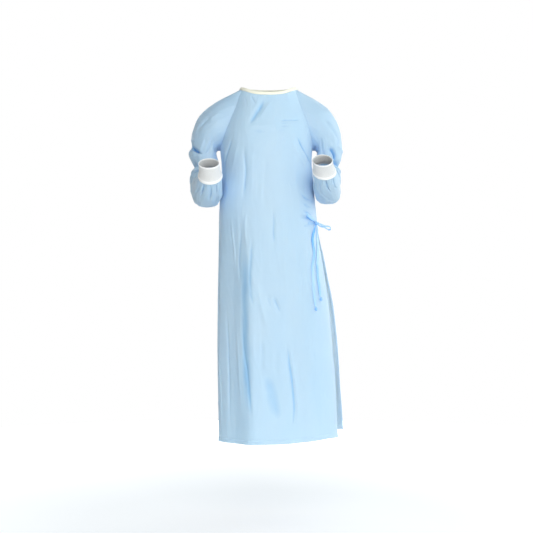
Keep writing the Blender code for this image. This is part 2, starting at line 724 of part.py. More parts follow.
def build_ties():
    """The bow at the wearer's left side and the two straps that it joins."""
    knob("tie_knot", knot_middle(), KNOT_SIZE, tie_blue("knot_cloth"))
    strips = {
        "tie_strap_front": strap(*STRAP_FRONT),
        "tie_strap_back": strap(*STRAP_BACK),
        "tie_loop_front": front_loop(),
        "tie_loop_side": side_loop(),
        "tie_tail_front": tail(TAIL_FRONT, TAIL_ROWS),
        "tie_tail_side": tail(TAIL_SIDE, TAIL_ROWS),
    }
    for name, grid in strips.items():
        cloth(name, grid, tie_blue(name + "_cloth"), wall=TIE_WALL)
    for name, route in (("front", TAIL_FRONT), ("side", TAIL_SIDE)):
        x, z = route[-1]
        low = z - END_SIZE[2] - SEAM_GAP
        end = body_point(front_angle(x, low), low, END_LIFT)
        knob("tie_end_" + name, end, END_SIZE, tie_blue("end_cloth_" + name))


def main():
    clear_scene()
    collection = bpy.data.collections.new(COLLECTION)
    bpy.context.scene.collection.children.link(collection)
    build_panels()
    build_sleeves()
    build_binding()
    build_ties()


main()
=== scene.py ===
import math

import bmesh
import bpy
import numpy as np
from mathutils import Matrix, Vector


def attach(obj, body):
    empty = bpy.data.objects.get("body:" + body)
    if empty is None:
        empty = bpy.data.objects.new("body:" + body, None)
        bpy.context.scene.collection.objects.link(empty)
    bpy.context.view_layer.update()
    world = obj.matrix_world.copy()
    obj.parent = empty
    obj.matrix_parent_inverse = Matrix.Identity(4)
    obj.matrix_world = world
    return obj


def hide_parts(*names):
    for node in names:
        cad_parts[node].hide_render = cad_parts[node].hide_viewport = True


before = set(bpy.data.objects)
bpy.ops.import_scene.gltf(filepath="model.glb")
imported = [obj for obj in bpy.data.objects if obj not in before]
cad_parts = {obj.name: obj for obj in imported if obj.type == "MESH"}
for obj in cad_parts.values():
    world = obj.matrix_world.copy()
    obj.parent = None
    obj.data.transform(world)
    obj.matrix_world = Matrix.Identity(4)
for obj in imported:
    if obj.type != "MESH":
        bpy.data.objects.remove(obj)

bl_info = {
    "name": "Surgical gown",
    "version": (1, 0, 0),
    "blender": (4, 5, 0),
    "location": "3D View > Sidebar > Gown",
    "description": "Cloth, knit, ties and sewing of a wrap-over surgical gown",
    "category": "Object",
}

# Shape of the cloth, the same as in the part: metres, degrees from the centre front, +X the wearer's left
SEAM_GAP = 0.0004
HEM_Z = -1.185
UNDERARM_Z = -0.205
SIDE_ANGLE = 95.0
ROUNDNESS = 0.85

# Body sections: height, half width on the wearer's right and left, depth in front and behind
BODY = (
    (0.030, 0.084, 0.084, 0.064, 0.058),
    (0.000, 0.097, 0.097, 0.081, 0.074),
    (-0.030, 0.112, 0.111, 0.093, 0.090),
    (-0.060, 0.126, 0.124, 0.104, 0.103),
    (-0.110, 0.147, 0.144, 0.120, 0.119),
    (-0.160, 0.158, 0.151, 0.131, 0.127),
    (-0.205, 0.162, 0.147, 0.136, 0.130),
    (-0.250, 0.158, 0.145, 0.136, 0.128),
    (-0.300, 0.157, 0.149, 0.135, 0.126),
    (-0.390, 0.165, 0.157, 0.133, 0.122),
    (-0.496, 0.168, 0.167, 0.135, 0.124),
    (-0.568, 0.168, 0.179, 0.139, 0.130),
    (-0.710, 0.169, 0.201, 0.149, 0.143),
    (-0.890, 0.171, 0.218, 0.158, 0.155),
    (-1.060, 0.168, 0.230, 0.165, 0.163),
    (-1.185, 0.165, 0.233, 0.168, 0.166),
)

# Neckline: degrees from the centre front, height of the cloth's edge under the binding
NECKLINE = (
    (0.0, -0.027),
    (25.0, -0.022),
    (45.0, -0.012),
    (62.0, -0.006),
    (95.0, -0.002),
    (132.0, 0.000),
    (180.0, -0.001),
)

# Raglan seams from the neckline to the underarm: height, degrees from the centre front
RAGLAN_FRONT = (
    (-0.006, 62.0),
    (-0.050, 57.0),
    (-0.098, 58.0),
    (-0.145, 64.0),
    (-0.182, 76.0),
    (UNDERARM_Z, SIDE_ANGLE),
)
RAGLAN_BACK = (
    (0.000, 132.0),
    (-0.045, 130.0),
    (-0.096, 127.0),
    (-0.145, 120.0),
    (-0.182, 110.0),
    (UNDERARM_Z, SIDE_ANGLE),
)

# Large soft folds of the skirt: angle at the top and at the hem, top, bottom, half width in degrees, depth
FOLDS = (
    (-46.0, -41.0, -0.330, -1.300, 17.0, -0.0130),
    (-19.0, -16.0, -0.380, -1.300, 9.0, 0.0060),
    (-76.0, -73.0, -0.420, -1.300, 10.0, 0.0050),
    (14.0, 26.0, -0.620, -1.300, 9.0, -0.0050),
    (52.0, 57.0, -0.560, -1.300, 12.0, -0.0045),
    (142.0, 146.0, -0.420, -1.300, 13.0, -0.0080),
    (176.0, 181.0, -0.300, -1.300, 12.0, 0.0070),
    (214.0, 211.0, -0.380, -1.300, 14.0, -0.0100),
    (243.0, 240.0, -0.520, -1.300, 11.0, 0.0060),
)
FOLD_RISE = 0.30        # a fold is at its full depth this far below its top
NECK_FADE = 1.5         # the neckline's dip fades down the yoke by this power
HEM_RISE = (58.0, 42.0, 0.013)  # the hem is drawn up below the bow: angle, half width in degrees, height
HEM_RISE_TOP = -0.80    # and the cloth over it from here down

# Wrap-over back panel: its free edge, as height, degrees, and how far it stands off the layer below
WRAP_EDGE = (
    (0.002, 158.0, 0.0045),
    (-0.060, 150.0, 0.0045),
    (-0.130, 139.0, 0.0045),
    (-0.205, 124.0, 0.0045),
    (-0.300, 110.0, 0.0048),
    (-0.390, 102.0, 0.0050),
    (-0.496, 99.0, 0.0062),
    (-0.568, 98.0, 0.0100),
    (-0.660, 97.5, 0.0135),
    (-0.710, 97.5, 0.0165),
    (-0.890, 97.5, 0.0200),
    (-1.060, 97.5, 0.0190),
    (-1.157, 97.5, 0.0230),
)
WRAP_HEM_RISE = 0.022   # the wrap is drawn up this far at its free edge and hem
WRAP_LIFT = 0.0045      # it lies this far off the layer below
WRAP_FLARE = 44.0       # degrees over which its free edge swings out
WRAP_LEAVES = (228.0, 16.0)     # where it starts to lie off that layer: angle, and degrees that this takes
WRAP_CREASED = (236.0, 20.0)    # the same for where its own creases start
WRAP_RISE = (150.0, 50.0, -0.70, 0.45)  # the same for its rise: angle, degrees, height, metres
WRAP_SINKS = 0.0022     # its creases sink no further than this, so that they clear the layer below
WRAP_RADIUS = 0.165     # turns degrees round it into metres near its free edge
UNDER_EDGE = 218.0      # angle of the under layer's free edge
UNDER_CALM = (2.0, 10.0)        # it is calm from this far under the wrap on, and degrees that this takes
UNDER_RISES = 0.0016    # its creases rise no further than this

# Sleeves, a row for each section from the shoulder to the wrist: inner x and z, outer x and z, y of the
# middle, degrees that the arm is bent forward, half depth, roundness
SLEEVE_LEFT = (
    (0.163, -0.208, 0.166, -0.039, 0.008, 0.0, 0.079, 1.00),
    (0.166, -0.217, 0.214, -0.080, 0.010, 0.0, 0.072, 1.00),
    (0.165, -0.234, 0.246, -0.150, 0.012, 4.0, 0.064, 1.00),
    (0.164, -0.257, 0.251, -0.205, 0.016, 8.0, 0.060, 0.95),
    (0.163, -0.290, 0.243, -0.262, 0.018, 15.0, 0.057, 0.90),
    (0.165, -0.320, 0.243, -0.314, 0.004, 52.0, 0.060, 0.85),
    (0.163, -0.345, 0.240, -0.334, -0.050, 88.0, 0.050, 0.75),
    (0.157, -0.338, 0.234, -0.329, -0.108, 100.0, 0.045, 0.80),
    (0.149, -0.309, 0.227, -0.317, -0.160, 118.0, 0.042, 0.90),
    (0.144, -0.291, 0.218, -0.291, -0.198, 134.0, 0.0375, 1.00),
)
SLEEVE_RIGHT = (
    (0.176, -0.208, 0.170, -0.037, 0.008, 0.0, 0.079, 1.00),
    (0.179, -0.217, 0.229, -0.083, 0.010, 0.0, 0.072, 1.00),
    (0.178, -0.234, 0.258, -0.140, 0.012, 4.0, 0.064, 1.00),
    (0.177, -0.258, 0.268, -0.205, 0.016, 8.0, 0.060, 0.95),
    (0.175, -0.290, 0.259, -0.258, 0.018, 15.0, 0.057, 0.90),
    (0.174, -0.324, 0.263, -0.314, 0.004, 52.0, 0.062, 0.85),
    (0.170, -0.343, 0.257, -0.346, -0.050, 88.0, 0.053, 0.72),
    (0.162, -0.342, 0.250, -0.346, -0.108, 98.0, 0.049, 0.75),
    (0.155, -0.326, 0.240, -0.330, -0.160, 115.0, 0.044, 0.85),
    (0.152, -0.305, 0.228, -0.305, -0.198, 134.0, 0.0385, 1.00),
)
NECK_SHARE = 0.07       # share of the way round the armhole from its top to the end of the neckline
UNDERARM_FLARE = 0.008  # how far the cloth of the underarm stands off as it leaves the armhole
UNDERARM_REACH = 0.20   # and over what share of the way round
LEAVING_PLACE = 0.35    # place, in sections, of a ring between the armhole and the first section
LEAVING_SHARE = 0.3     # and how much of the way to that section it has gone

# Folds of a sleeve: place along it in sections, place around (0 inner, 0.25 front, 0.5 outer), half
# length, half width, depth
SLEEVE_FOLDS_LEFT = (
    (3.4, 0.42, 0.35, 0.10, -0.0060),
    (4.95, 0.50, 0.30, 0.16, -0.0100),
    (5.5, 0.60, 0.35, 0.14, 0.0050),
    (7.7, 0.86, 0.45, 0.07, -0.0050),
)
SLEEVE_FOLDS_RIGHT = (
    (3.70, 0.48, 0.28, 0.14, -0.0090),
    (4.25, 0.52, 0.28, 0.13, 0.0060),
    (5.05, 0.50, 0.28, 0.16, -0.0110),
    (5.55, 0.55, 0.30, 0.13, 0.0070),
    (8.2, 0.86, 0.50, 0.05, -0.0040),
)

# Cuffs: x, y and z of the rim's middle, degrees that it is bent forward, half width and half depth
CUFF_RIM_LEFT = (0.173, -0.243, -0.258, 138.0, 0.0325, 0.0300)
CUFF_RIM_RIGHT = (0.193, -0.236, -0.267, 146.0, 0.0335, 0.0310)
CUFF_INSET = 0.0015     # the cuff lies this far inside the sleeve's form
CUFF_INSET_REACH = 0.25 # and gets there over this share of its length
CUFF_LENGTH = 0.055     # of both cuffs, laid flat
CUFF_LAP = 0.0022       # the cuff's sewn band reaches this far down over the sleeve
CUFF_STANDS = 0.0007    # and stands this far off it
WRIST_NARROWS = 0.0012  # the sleeve draws in under the band
WRIST_BAND = 0.006      # over this much of its end
CUFF_BAND = 0.0062      # height of the sewn band and of the rolled band
CUFF_BAND_STANDS = 0.0009       # how far both stand out
CUFF_WAIST = 0.0012     # how far the cuff draws in at half its length
CUFF_WALL = 0.0012
CUFF_ROUND = 0.21       # metres round it, for the knit's pattern
INNER_SWELL = 0.010     # the loose cloth of the inner arm hangs this far towards the body
INNER_SPAN = (1.2, 9.2, 1.6)    # from where to where along the sleeve, and how soon it swells, in sections
INNER_REACH = 0.16      # and its half width, as a share of the way round

# Section of the folded neck binding, from its outer edge over the top to its inner edge: height over the
# seam and distance out
BINDING_PROFILE = (
    (0.0, 0.0008),
    (0.0004, 0.0015),
    (0.0022, 0.0017),
    (0.0052, 0.0019),
    (0.0082, 0.0018),
    (0.0104, 0.0015),
    (0.0118, 0.0008),
    (0.0122, 0.0),
    (0.0118, -0.0008),
    (0.0104, -0.0014),
    (0.0082, -0.0016),
    (0.0052, -0.0016),
    (0.0022, -0.0014),
    (0.0004, -0.0012),
    (0.0, -0.0006),
)
BINDING_HEIGHT = 0.0122
BINDING_FLAT = 0.026    # width of the strip unfolded
BINDING_ROUND = 0.1     # radius of the neck, for the knit's pattern
BINDING_RIB = 0.0019    # from rib to rib
BINDING_RIB_HEIGHT = 0.00013
BINDING_TUCK = 0.0008   # the binding reaches this far down over the cloth's edge
BINDING_SHOWN = 0.0094  # and this far up over it

# Ties: x and z of the bow's knot, and the half sizes of the knots
TIE_WIDTH = 0.009
KNOT = (0.151, -0.455)
KNOT_SIZE = (0.0062, 0.0062, 0.0058)
KNOT_LIFT = 0.0080      # its middle stands this far off the cloth
KNOT_GAP = 0.0012       # the strips end this far inside its face
KNOT_FLAT = (0.03, 0.005)       # metres round a knot, and for each radian down it, for the cloth's pattern
END_SIZE = (0.0050, 0.0045, 0.0058)
END_LIFT = 0.0066
STRIP_CURL = 0.0006     # how far a strip's edges curl up
STRIP_HOLLOW = 0.0003   # and how far its middle is pressed in
LOOP_PINCH = 0.4        # a strip is this share of its width where the knot holds it
LOOP_FRONT_REACH = 0.25 # and widens again over this share of its length
LOOP_SIDE_REACH = 0.2
STRAP_REACH = 0.4
TAIL_PINCH = (0.35, 0.6)        # the same for a tail, at its start and its end
TAIL_REACH = 0.08
TAIL_LIFT = 0.0035      # the tails hang this far off the cloth
TAIL_DROP = 0.003       # and this much further where they leave the knot
TAIL_DROP_REACH = 0.125 # which takes this share of their length
TAIL_TURN = 0.32        # how much their width leans towards X

# Middle lines of the tails, as x and z on the front
TAIL_FRONT = (
    (0.1500, -0.4635),
    (0.1478, -0.482),
    (0.1445, -0.512),
    (0.1505, -0.5535),
    (0.1430, -0.605),
    (0.1460, -0.642),
    (0.1505, -0.702),
    (0.1550, -0.735),
)
TAIL_SIDE = (
    (0.1565, -0.4630),
    (0.1600, -0.478),
    (0.1612, -0.500),
    (0.1608, -0.555),
    (0.1608, -0.612),
    (0.1668, -0.665),
    (0.1715, -0.702),
)

# Middle line of the front loop, as x, z and distance off the cloth, and the direction of its width
LOOP_FRONT = (
    (0.1450, -0.4490, 0.0075),
    (0.1380, -0.4440, 0.0062),
    (0.1300, -0.4370, 0.0055),
    (0.1240, -0.4310, 0.0062),
    (0.1222, -0.4290, 0.0090),
    (0.1245, -0.4310, 0.0118),
    (0.1310, -0.4375, 0.0128),
    (0.1390, -0.4445, 0.0125),
    (0.1450, -0.4490, 0.0115),
)
LOOP_FRONT_ACROSS = (0.45, -0.25, 0.85)

# Middle line of the side loop, as x, y and z, and the direction of its width at its start, turn and end
LOOP_SIDE = (
    (0.1650, -0.0700, -0.4560),
    (0.1730, -0.0730, -0.4585),
    (0.1800, -0.0740, -0.4620),
    (0.1880, -0.0750, -0.4655),
    (0.1985, -0.0755, -0.4660),
    (0.2055, -0.0755, -0.4690),
    (0.2070, -0.0755, -0.4750),
    (0.2010, -0.0755, -0.4775),
    (0.1930, -0.0750, -0.4725),
    (0.1870, -0.0745, -0.4690),
    (0.1790, -0.0735, -0.4670),
    (0.1715, -0.0720, -0.4645),
    (0.1650, -0.0700, -0.4600),
)
LOOP_SIDE_ACROSS = ((0.05, 0.55, 0.85), (0.1, 1.0, 0.35), (0.1, 0.75, 0.65))

# Straps: height, angles where they are sewn on and where they end, distances off the cloth at both
STRAP_FRONT = (-0.4560, 52.0, 63.0, 0.0026, 0.0030)
STRAP_BACK = (-0.4530, 106.0, 76.0, 0.0084, 0.0050)
STRAP_FALL = (0.3125, 0.9375)   # shares of its length between which the distance changes

# Painted shade along each piece of the bow, 0 to 1, a deeper blue where it lies in shade: rows of share
# along it and depth of the shade, from where it leaves the knot to its end
BOW_PAINTED_SHADE = {
    "tail_front": ((0.0, 0.95), (0.18, 0.85), (0.45, 0.35), (0.60, 0.15), (1.0, 0.12)),
    "tail_side": ((0.0, 0.35), (0.25, 0.10), (0.52, 0.10), (0.58, 0.50), (0.92, 0.45), (1.0, 0.20)),
    "loop_front": ((0.0, 0.95), (0.30, 0.75), (0.5, 0.45), (0.62, 0.10), (0.9, 0.10), (1.0, 0.5)),
    "loop_side": (
        (0.0, 0.30),
        (0.15, 0.05),
        (0.38, 0.15),
        (0.46, 0.80),
        (0.56, 0.80),
        (0.66, 0.10),
        (1.0, 0.30),
    ),
    "knot": ((0.0, 0.75), (0.5, 0.55), (1.0, 0.95)),
    "end": ((0.0, 0.35), (1.0, 0.50)),
    "strap": ((0.0, 0.10), (1.0, 0.40)),
}

# Creases of the front. Each row has the pixels, across and down, of the photograph where the line was seen,
# then its half width and depth in metres and its sharpness
FRONT_CREASES = (
    (((267, 97), (261, 106), (254, 117), (247, 128)), 0.0100, -0.0027, 1.8),
    (((272, 99), (266, 108), (259, 119)), 0.0045, 0.0010, 2.0),
    (((250.5, 95), (253, 100), (257, 106)), 0.0036, -0.0014, 2.0),
    (((244.5, 96), (246, 101), (247, 108)), 0.0032, -0.0009, 2.0),
    (((259, 97), (256, 104), (252, 111)), 0.0034, 0.0008, 2.0),
    (((276, 96), (283, 99), (290, 104)), 0.0040, -0.0006, 2.0),
    (((273.5, 120.7), (285, 120.4), (301.5, 120.3)), 0.0027, -0.0026, 1.4),
    (((277.5, 123.7), (286, 123.3), (294, 123.3)), 0.0026, -0.0016, 1.5),
    (((277, 126.1), (284, 126.2), (292.5, 126.1)), 0.0026, -0.0015, 1.5),
    (((246, 129), (258, 131.5), (275, 131), (291, 128)), 0.0095, -0.0012, 2.0),
    (((247, 137), (262, 137.5), (277, 135)), 0.0065, -0.0007, 2.0),
    (((250, 124), (262, 125.5), (274, 124)), 0.0050, 0.0008, 2.0),
    (((288, 133), (283, 141), (276, 149)), 0.0045, -0.0008, 2.0),
    (((294, 131), (300, 143), (306, 154), (313, 168)), 0.0048, -0.0030, 1.7),
    (((290, 139), (296, 150), (303, 163), (309, 176)), 0.0060, 0.0014, 2.0),
    (((234, 132), (229.5, 146), (225.5, 160), (222.5, 179)), 0.0050, -0.0026, 1.7),
    (((239, 140), (235, 156), (231, 174)), 0.0060, 0.0013, 2.0),
    (((245, 141), (244.3, 155), (245.5, 170), (244, 190), (243, 206)), 0.0060, -0.0019, 2.0),
    (((252, 150), (252, 170), (251, 195)), 0.0065, 0.0009, 2.0),
    (((265, 150), (265.5, 170), (264, 190), (266, 212)), 0.0050, -0.0009, 2.0),
    (((257.5, 165), (258, 190), (257, 204)), 0.0050, -0.0006, 2.0),
    (((296, 189), (304, 197), (311, 201), (316, 202.5)), 0.0044, -0.0026, 1.6),
    (((298, 200), (307, 206), (315, 208.5)), 0.0040, -0.0020, 1.6),
    (((300, 209), (308, 213), (314, 216)), 0.0040, -0.0024, 1.6),
    (((297, 218), (304, 217.5), (311, 219.5)), 0.0040, -0.0022, 1.6),
    (((299, 229), (305, 226), (312, 224)), 0.0042, -0.0018, 1.6),
    (((230, 212), (231.5, 235), (233, 255), (231.5, 275)), 0.0042, 0.0020, 2.0),
    (((246.5, 210), (245, 228), (246.5, 248)), 0.0042, 0.0016, 2.0),
    (((239, 212), (240, 240), (238, 262), (240, 288)), 0.0060, -0.0017, 2.0),
    (((252, 234), (251, 258), (250, 280), (253.5, 303)), 0.0048, -0.0017, 1.8),
    (((257, 280), (260, 300), (264, 316), (269, 332)), 0.0060, 0.0019, 2.0),
    (((272, 294.5), (276.5, 304), (281, 315)), 0.0032, -0.0028, 1.6),
    (((267, 293.5), (269.5, 302), (272, 310.5)), 0.0034, -0.0018, 1.8),
    (((249.5, 291), (252, 299), (254, 307)), 0.0032, -0.0013, 1.8),
    (((271.5, 204), (273.7, 217), (273.4, 231), (274.8, 250.5)), 0.0034, -0.0022, 1.6),
    (((284, 335), (287, 345), (290, 365), (293, 387), (294.5, 412), (290, 439)), 0.0036, -0.0034, 1.6),
    (((288, 339), (292, 360), (296, 387), (297.5, 410), (296, 430)), 0.0040, 0.0022, 2.0),
    (((220, 335), (220.6, 370), (221.6, 400), (222.2, 436)), 0.0036, 0.0020, 2.0),
    (((224.5, 300), (226, 345), (227, 390), (228, 436)), 0.0050, -0.0018, 2.0),
    (((220.3, 214), (220, 250), (220, 300), (220.4, 335)), 0.0050, -0.0016, 2.0),
    (((296, 281.5), (312, 280), (323, 283.5)), 0.0026, -0.0006, 1.8),
    (((291, 310.5), (299, 309), (306, 310)), 0.0026, -0.0006, 1.8),
    (((316, 390), (323, 392.5), (330, 397)), 0.0028, -0.0007, 1.8),
    (((243, 322), (243, 345), (247, 370), (250, 400), (252.5, 428)), 0.0042, -0.0018, 1.9),
    (((234, 318), (236, 345), (238, 380), (241, 420)), 0.0055, 0.0013, 2.0),
    (((261, 336), (262.3, 355), (261, 372)), 0.0040, -0.0012, 1.9),
    (((277, 349), (276, 365), (277.5, 380)), 0.0040, -0.0009, 1.9),
    (((265.5, 367), (270.5, 388), (275, 406), (280, 428)), 0.0105, -0.0021, 2.0),
    (((243.5, 218), (244, 279), (245.5, 357), (250, 440)), 0.0160, -0.0030, 2.2),
    (((313, 320), (312, 345), (317, 372)), 0.0070, -0.0008, 2.0),
    (((304, 232), (300, 258), (303, 285), (300, 318)), 0.0060, -0.0009, 2.0),
    (((286, 212), (288, 240), (285, 270), (287, 300)), 0.0070, 0.0008, 2.0),
    (((324, 245), (329, 280), (333, 320)), 0.0060, -0.0012, 2.0),
)

# The same for the side and back of the layer next to the body, its points as degrees and height
SIDE_CREASES = (
    (((-92.0, -0.224), (-104.0, -0.262), (-119.0, -0.310), (-131.0, -0.372)), 0.0052, -0.0024, 1.8),
    (((-98.0, -0.222), (-112.0, -0.244), (-128.0, -0.268)), 0.0045, -0.0018, 1.8),
    (((-118.0, -0.180), (-130.0, -0.220), (-137.0, -0.290)), 0.0070, 0.0016, 2.0),
    (((-100.0, -0.430), (-103.0, -0.560), (-101.0, -0.720), (-104.0, -0.900)), 0.0065, -0.0022, 2.0),
    (((-112.0, -0.380), (-114.0, -0.520), (-111.0, -0.690)), 0.0060, 0.0018, 2.0),
    (((-124.0, -0.480), (-128.0, -0.650), (-125.0, -0.860), (-127.0, -1.080)), 0.0070, -0.0024, 2.0),
    (((-96.0, -0.760), (-94.0, -0.900), (-97.0, -1.060), (-96.0, -1.170)), 0.0050, 0.0016, 2.0),
    (((-110.0, -0.820), (-112.0, -0.960), (-109.0, -1.130)), 0.0034, -0.0016, 1.6),
    (((-90.0, -0.398), (-104.0, -0.404), (-121.0, -0.392)), 0.0030, -0.0010, 1.7),
    (((-93.0, -0.446), (-110.0, -0.458), (-126.0, -0.452)), 0.0028, -0.0009, 1.7),
    (((-105.0, -0.640), (-114.0, -0.644), (-122.0, -0.638)), 0.0024, -0.0006, 1.6),
    (((98.0, -0.226), (106.0, -0.246), (114.0, -0.262)), 0.0040, -0.0018, 1.8),
    (((100.0, -0.300), (104.0, -0.330), (105.0, -0.370)), 0.0040, -0.0014, 1.8),
    (((124.0, -0.110), (132.0, -0.120), (141.0, -0.112)), 0.0036, -0.0010, 1.8),
)

# The same for the wrap, whose depths go outwards and inwards from its own layer
WRAP_CREASES = (
    (((104.0, -0.448), (122.0, -0.440), (146.0, -0.418), (170.0, -0.380)), 0.0052, -0.0020, 1.8),
    (((103.0, -0.444), (119.0, -0.424), (138.0, -0.392), (152.0, -0.350)), 0.0046, -0.0016, 1.8),
    (((104.0, -0.458), (126.0, -0.470), (150.0, -0.486), (176.0, -0.490)), 0.0054, -0.0021, 1.8),
    (((104.0, -0.464), (122.0, -0.500), (138.0, -0.552), (148.0, -0.620)), 0.0050, -0.0018, 1.8),
    (((106.0, -0.452), (130.0, -0.452), (158.0, -0.448)), 0.0048, 0.0014, 2.0),
    (((110.0, -0.480), (124.0, -0.520), (131.0, -0.590)), 0.0048, 0.0015, 2.0),
    (((170.0, -0.060), (178.0, -0.116), (176.0, -0.180)), 0.0060, -0.0016, 2.0),
    (((200.0, -0.050), (192.0, -0.100), (188.0, -0.164)), 0.0050, -0.0014, 2.0),
    (((146.0, -0.150), (158.0, -0.210), (166.0, -0.290), (168.0, -0.380)), 0.0070, -0.0018, 2.0),
    (((182.0, -0.200), (184.0, -0.300), (181.0, -0.400), (184.0, -0.480)), 0.0065, -0.0018, 2.0),
    (((205.0, -0.190), (199.0, -0.280), (201.0, -0.380)), 0.0062, 0.0016, 2.0),
    (((228.0, -0.180), (217.0, -0.230), (208.0, -0.276)), 0.0052, -0.0019, 1.8),
    (((160.0, -0.560), (163.0, -0.680), (160.0, -0.830), (164.0, -1.000)), 0.0066, -0.0020, 2.0),
    (((174.0, -0.640), (171.0, -0.780), (175.0, -0.940)), 0.0056, 0.0018, 2.0),
    (
        ((193.0, -0.520), (196.0, -0.660), (193.0, -0.820), (197.0, -1.010), (195.0, -1.150)),
        0.0068,
        -0.0022,
        2.0,
    ),
    (((206.0, -0.700), (204.0, -0.860), (207.0, -1.040)), 0.0034, -0.0016, 1.6),
    (((222.0, -0.560), (225.0, -0.700), (222.0, -0.880), (226.0, -1.090)), 0.0060, 0.0018, 2.0),
    (((118.0, -0.680), (121.0, -0.820), (118.0, -0.980), (122.0, -1.130)), 0.0070, -0.0022, 2.0),
    (((106.0, -0.600), (107.0, -0.740), (105.0, -0.900), (107.0, -1.060)), 0.0060, 0.0018, 2.0),
    (((132.0, -0.760), (135.0, -0.900), (132.0, -1.060)), 0.0040, -0.0016, 1.7),
    (((166.0, -0.300), (180.0, -0.304), (194.0, -0.300)), 0.0026, -0.0008, 1.5),
    (((158.0, -0.640), (176.0, -0.644), (200.0, -0.640)), 0.0026, -0.0008, 1.5),
    (((150.0, -0.950), (172.0, -0.946), (196.0, -0.950)), 0.0026, -0.0008, 1.5),
    (((186.0, -0.700), (187.0, -0.820), (185.0, -0.930)), 0.0022, -0.0012, 1.5),
)

# Creases of the sleeves: points as place along in sections and place around, half width, depth, sharpness
SLEEVE_CREASES_LEFT = (
    (((3.20, 0.24), (3.85, 0.29), (4.35, 0.33), (4.80, 0.36)), 0.0072, -0.0120, 2.2),
    (((4.50, 0.22), (4.74, 0.33), (4.84, 0.56)), 0.0062, -0.0120, 2.2),
    (((3.70, 0.37), (4.05, 0.44), (4.30, 0.52)), 0.0060, 0.0022, 2.0),
    (((5.15, 0.30), (5.35, 0.42), (5.45, 0.52)), 0.0050, 0.0030, 2.0),
    (((5.60, 0.24), (5.85, 0.38), (6.00, 0.56)), 0.0046, -0.0070, 1.6),
    (((9.95, 0.74), (9.4, 0.72), (8.6, 0.69)), 0.0036, -0.0062, 1.7),
    (((9.7, 0.92), (8.8, 0.84), (7.9, 0.74), (6.9, 0.64)), 0.0048, -0.0028, 1.9),
    (((9.95, 0.85), (9.4, 0.83), (8.7, 0.80)), 0.0034, -0.0034, 1.8),
    (((9.95, 0.62), (9.3, 0.61), (8.6, 0.59)), 0.0034, -0.0036, 1.8),
    (((8.6, 0.90), (7.8, 0.93), (7.0, 0.90)), 0.0050, -0.0020, 2.0),
    (((7.6, 0.66), (7.1, 0.76), (6.9, 0.88)), 0.0055, -0.0022, 1.9),
    (((6.4, 0.58), (6.2, 0.70), (6.3, 0.84)), 0.0060, 0.0022, 2.0),
    (((1.4, 0.30), (2.4, 0.33), (3.4, 0.40)), 0.0060, -0.0024, 1.9),
    (((1.2, 0.42), (2.1, 0.43), (3.0, 0.47)), 0.0070, 0.0016, 2.0),
    (((1.3, 0.20), (2.2, 0.16), (3.3, 0.17), (4.4, 0.22)), 0.0060, -0.0024, 1.9),
    (((1.2, 0.08), (2.0, 0.09), (2.9, 0.13)), 0.0050, -0.0020, 1.8),
    (((2.6, 0.26), (3.6, 0.28), (4.6, 0.32)), 0.0065, 0.0020, 2.0),
    (((5.5, 0.04), (5.35, 0.15), (5.45, 0.28)), 0.0050, -0.0046, 1.8),
    (((6.1, 0.08), (5.95, 0.20), (6.1, 0.34)), 0.0050, -0.0040, 1.8),
    (((5.8, 0.10), (5.68, 0.20), (5.8, 0.32)), 0.0045, 0.0020, 2.0),
    (((6.9, 0.10), (7.6, 0.20), (8.4, 0.30)), 0.0050, -0.0020, 1.9),
    (((7.2, 0.36), (8.1, 0.42), (9.1, 0.46)), 0.0050, -0.0018, 1.9),
    (((1.5, 0.62), (2.5, 0.66), (3.6, 0.66), (4.6, 0.62)), 0.0065, -0.0026, 1.9),
    (((1.4, 0.78), (2.3, 0.80), (3.3, 0.77), (4.2, 0.72)), 0.0060, -0.0022, 1.9),
    (((2.0, 0.71), (3.0, 0.72), (4.1, 0.68)), 0.0065, 0.0018, 2.0),
    (((1.2, 0.92), (2.0, 0.91), (2.9, 0.87)), 0.0050, -0.0020, 1.8),
    (((4.9, 0.60), (5.2, 0.70), (5.2, 0.82)), 0.0050, -0.0026, 1.8),
)
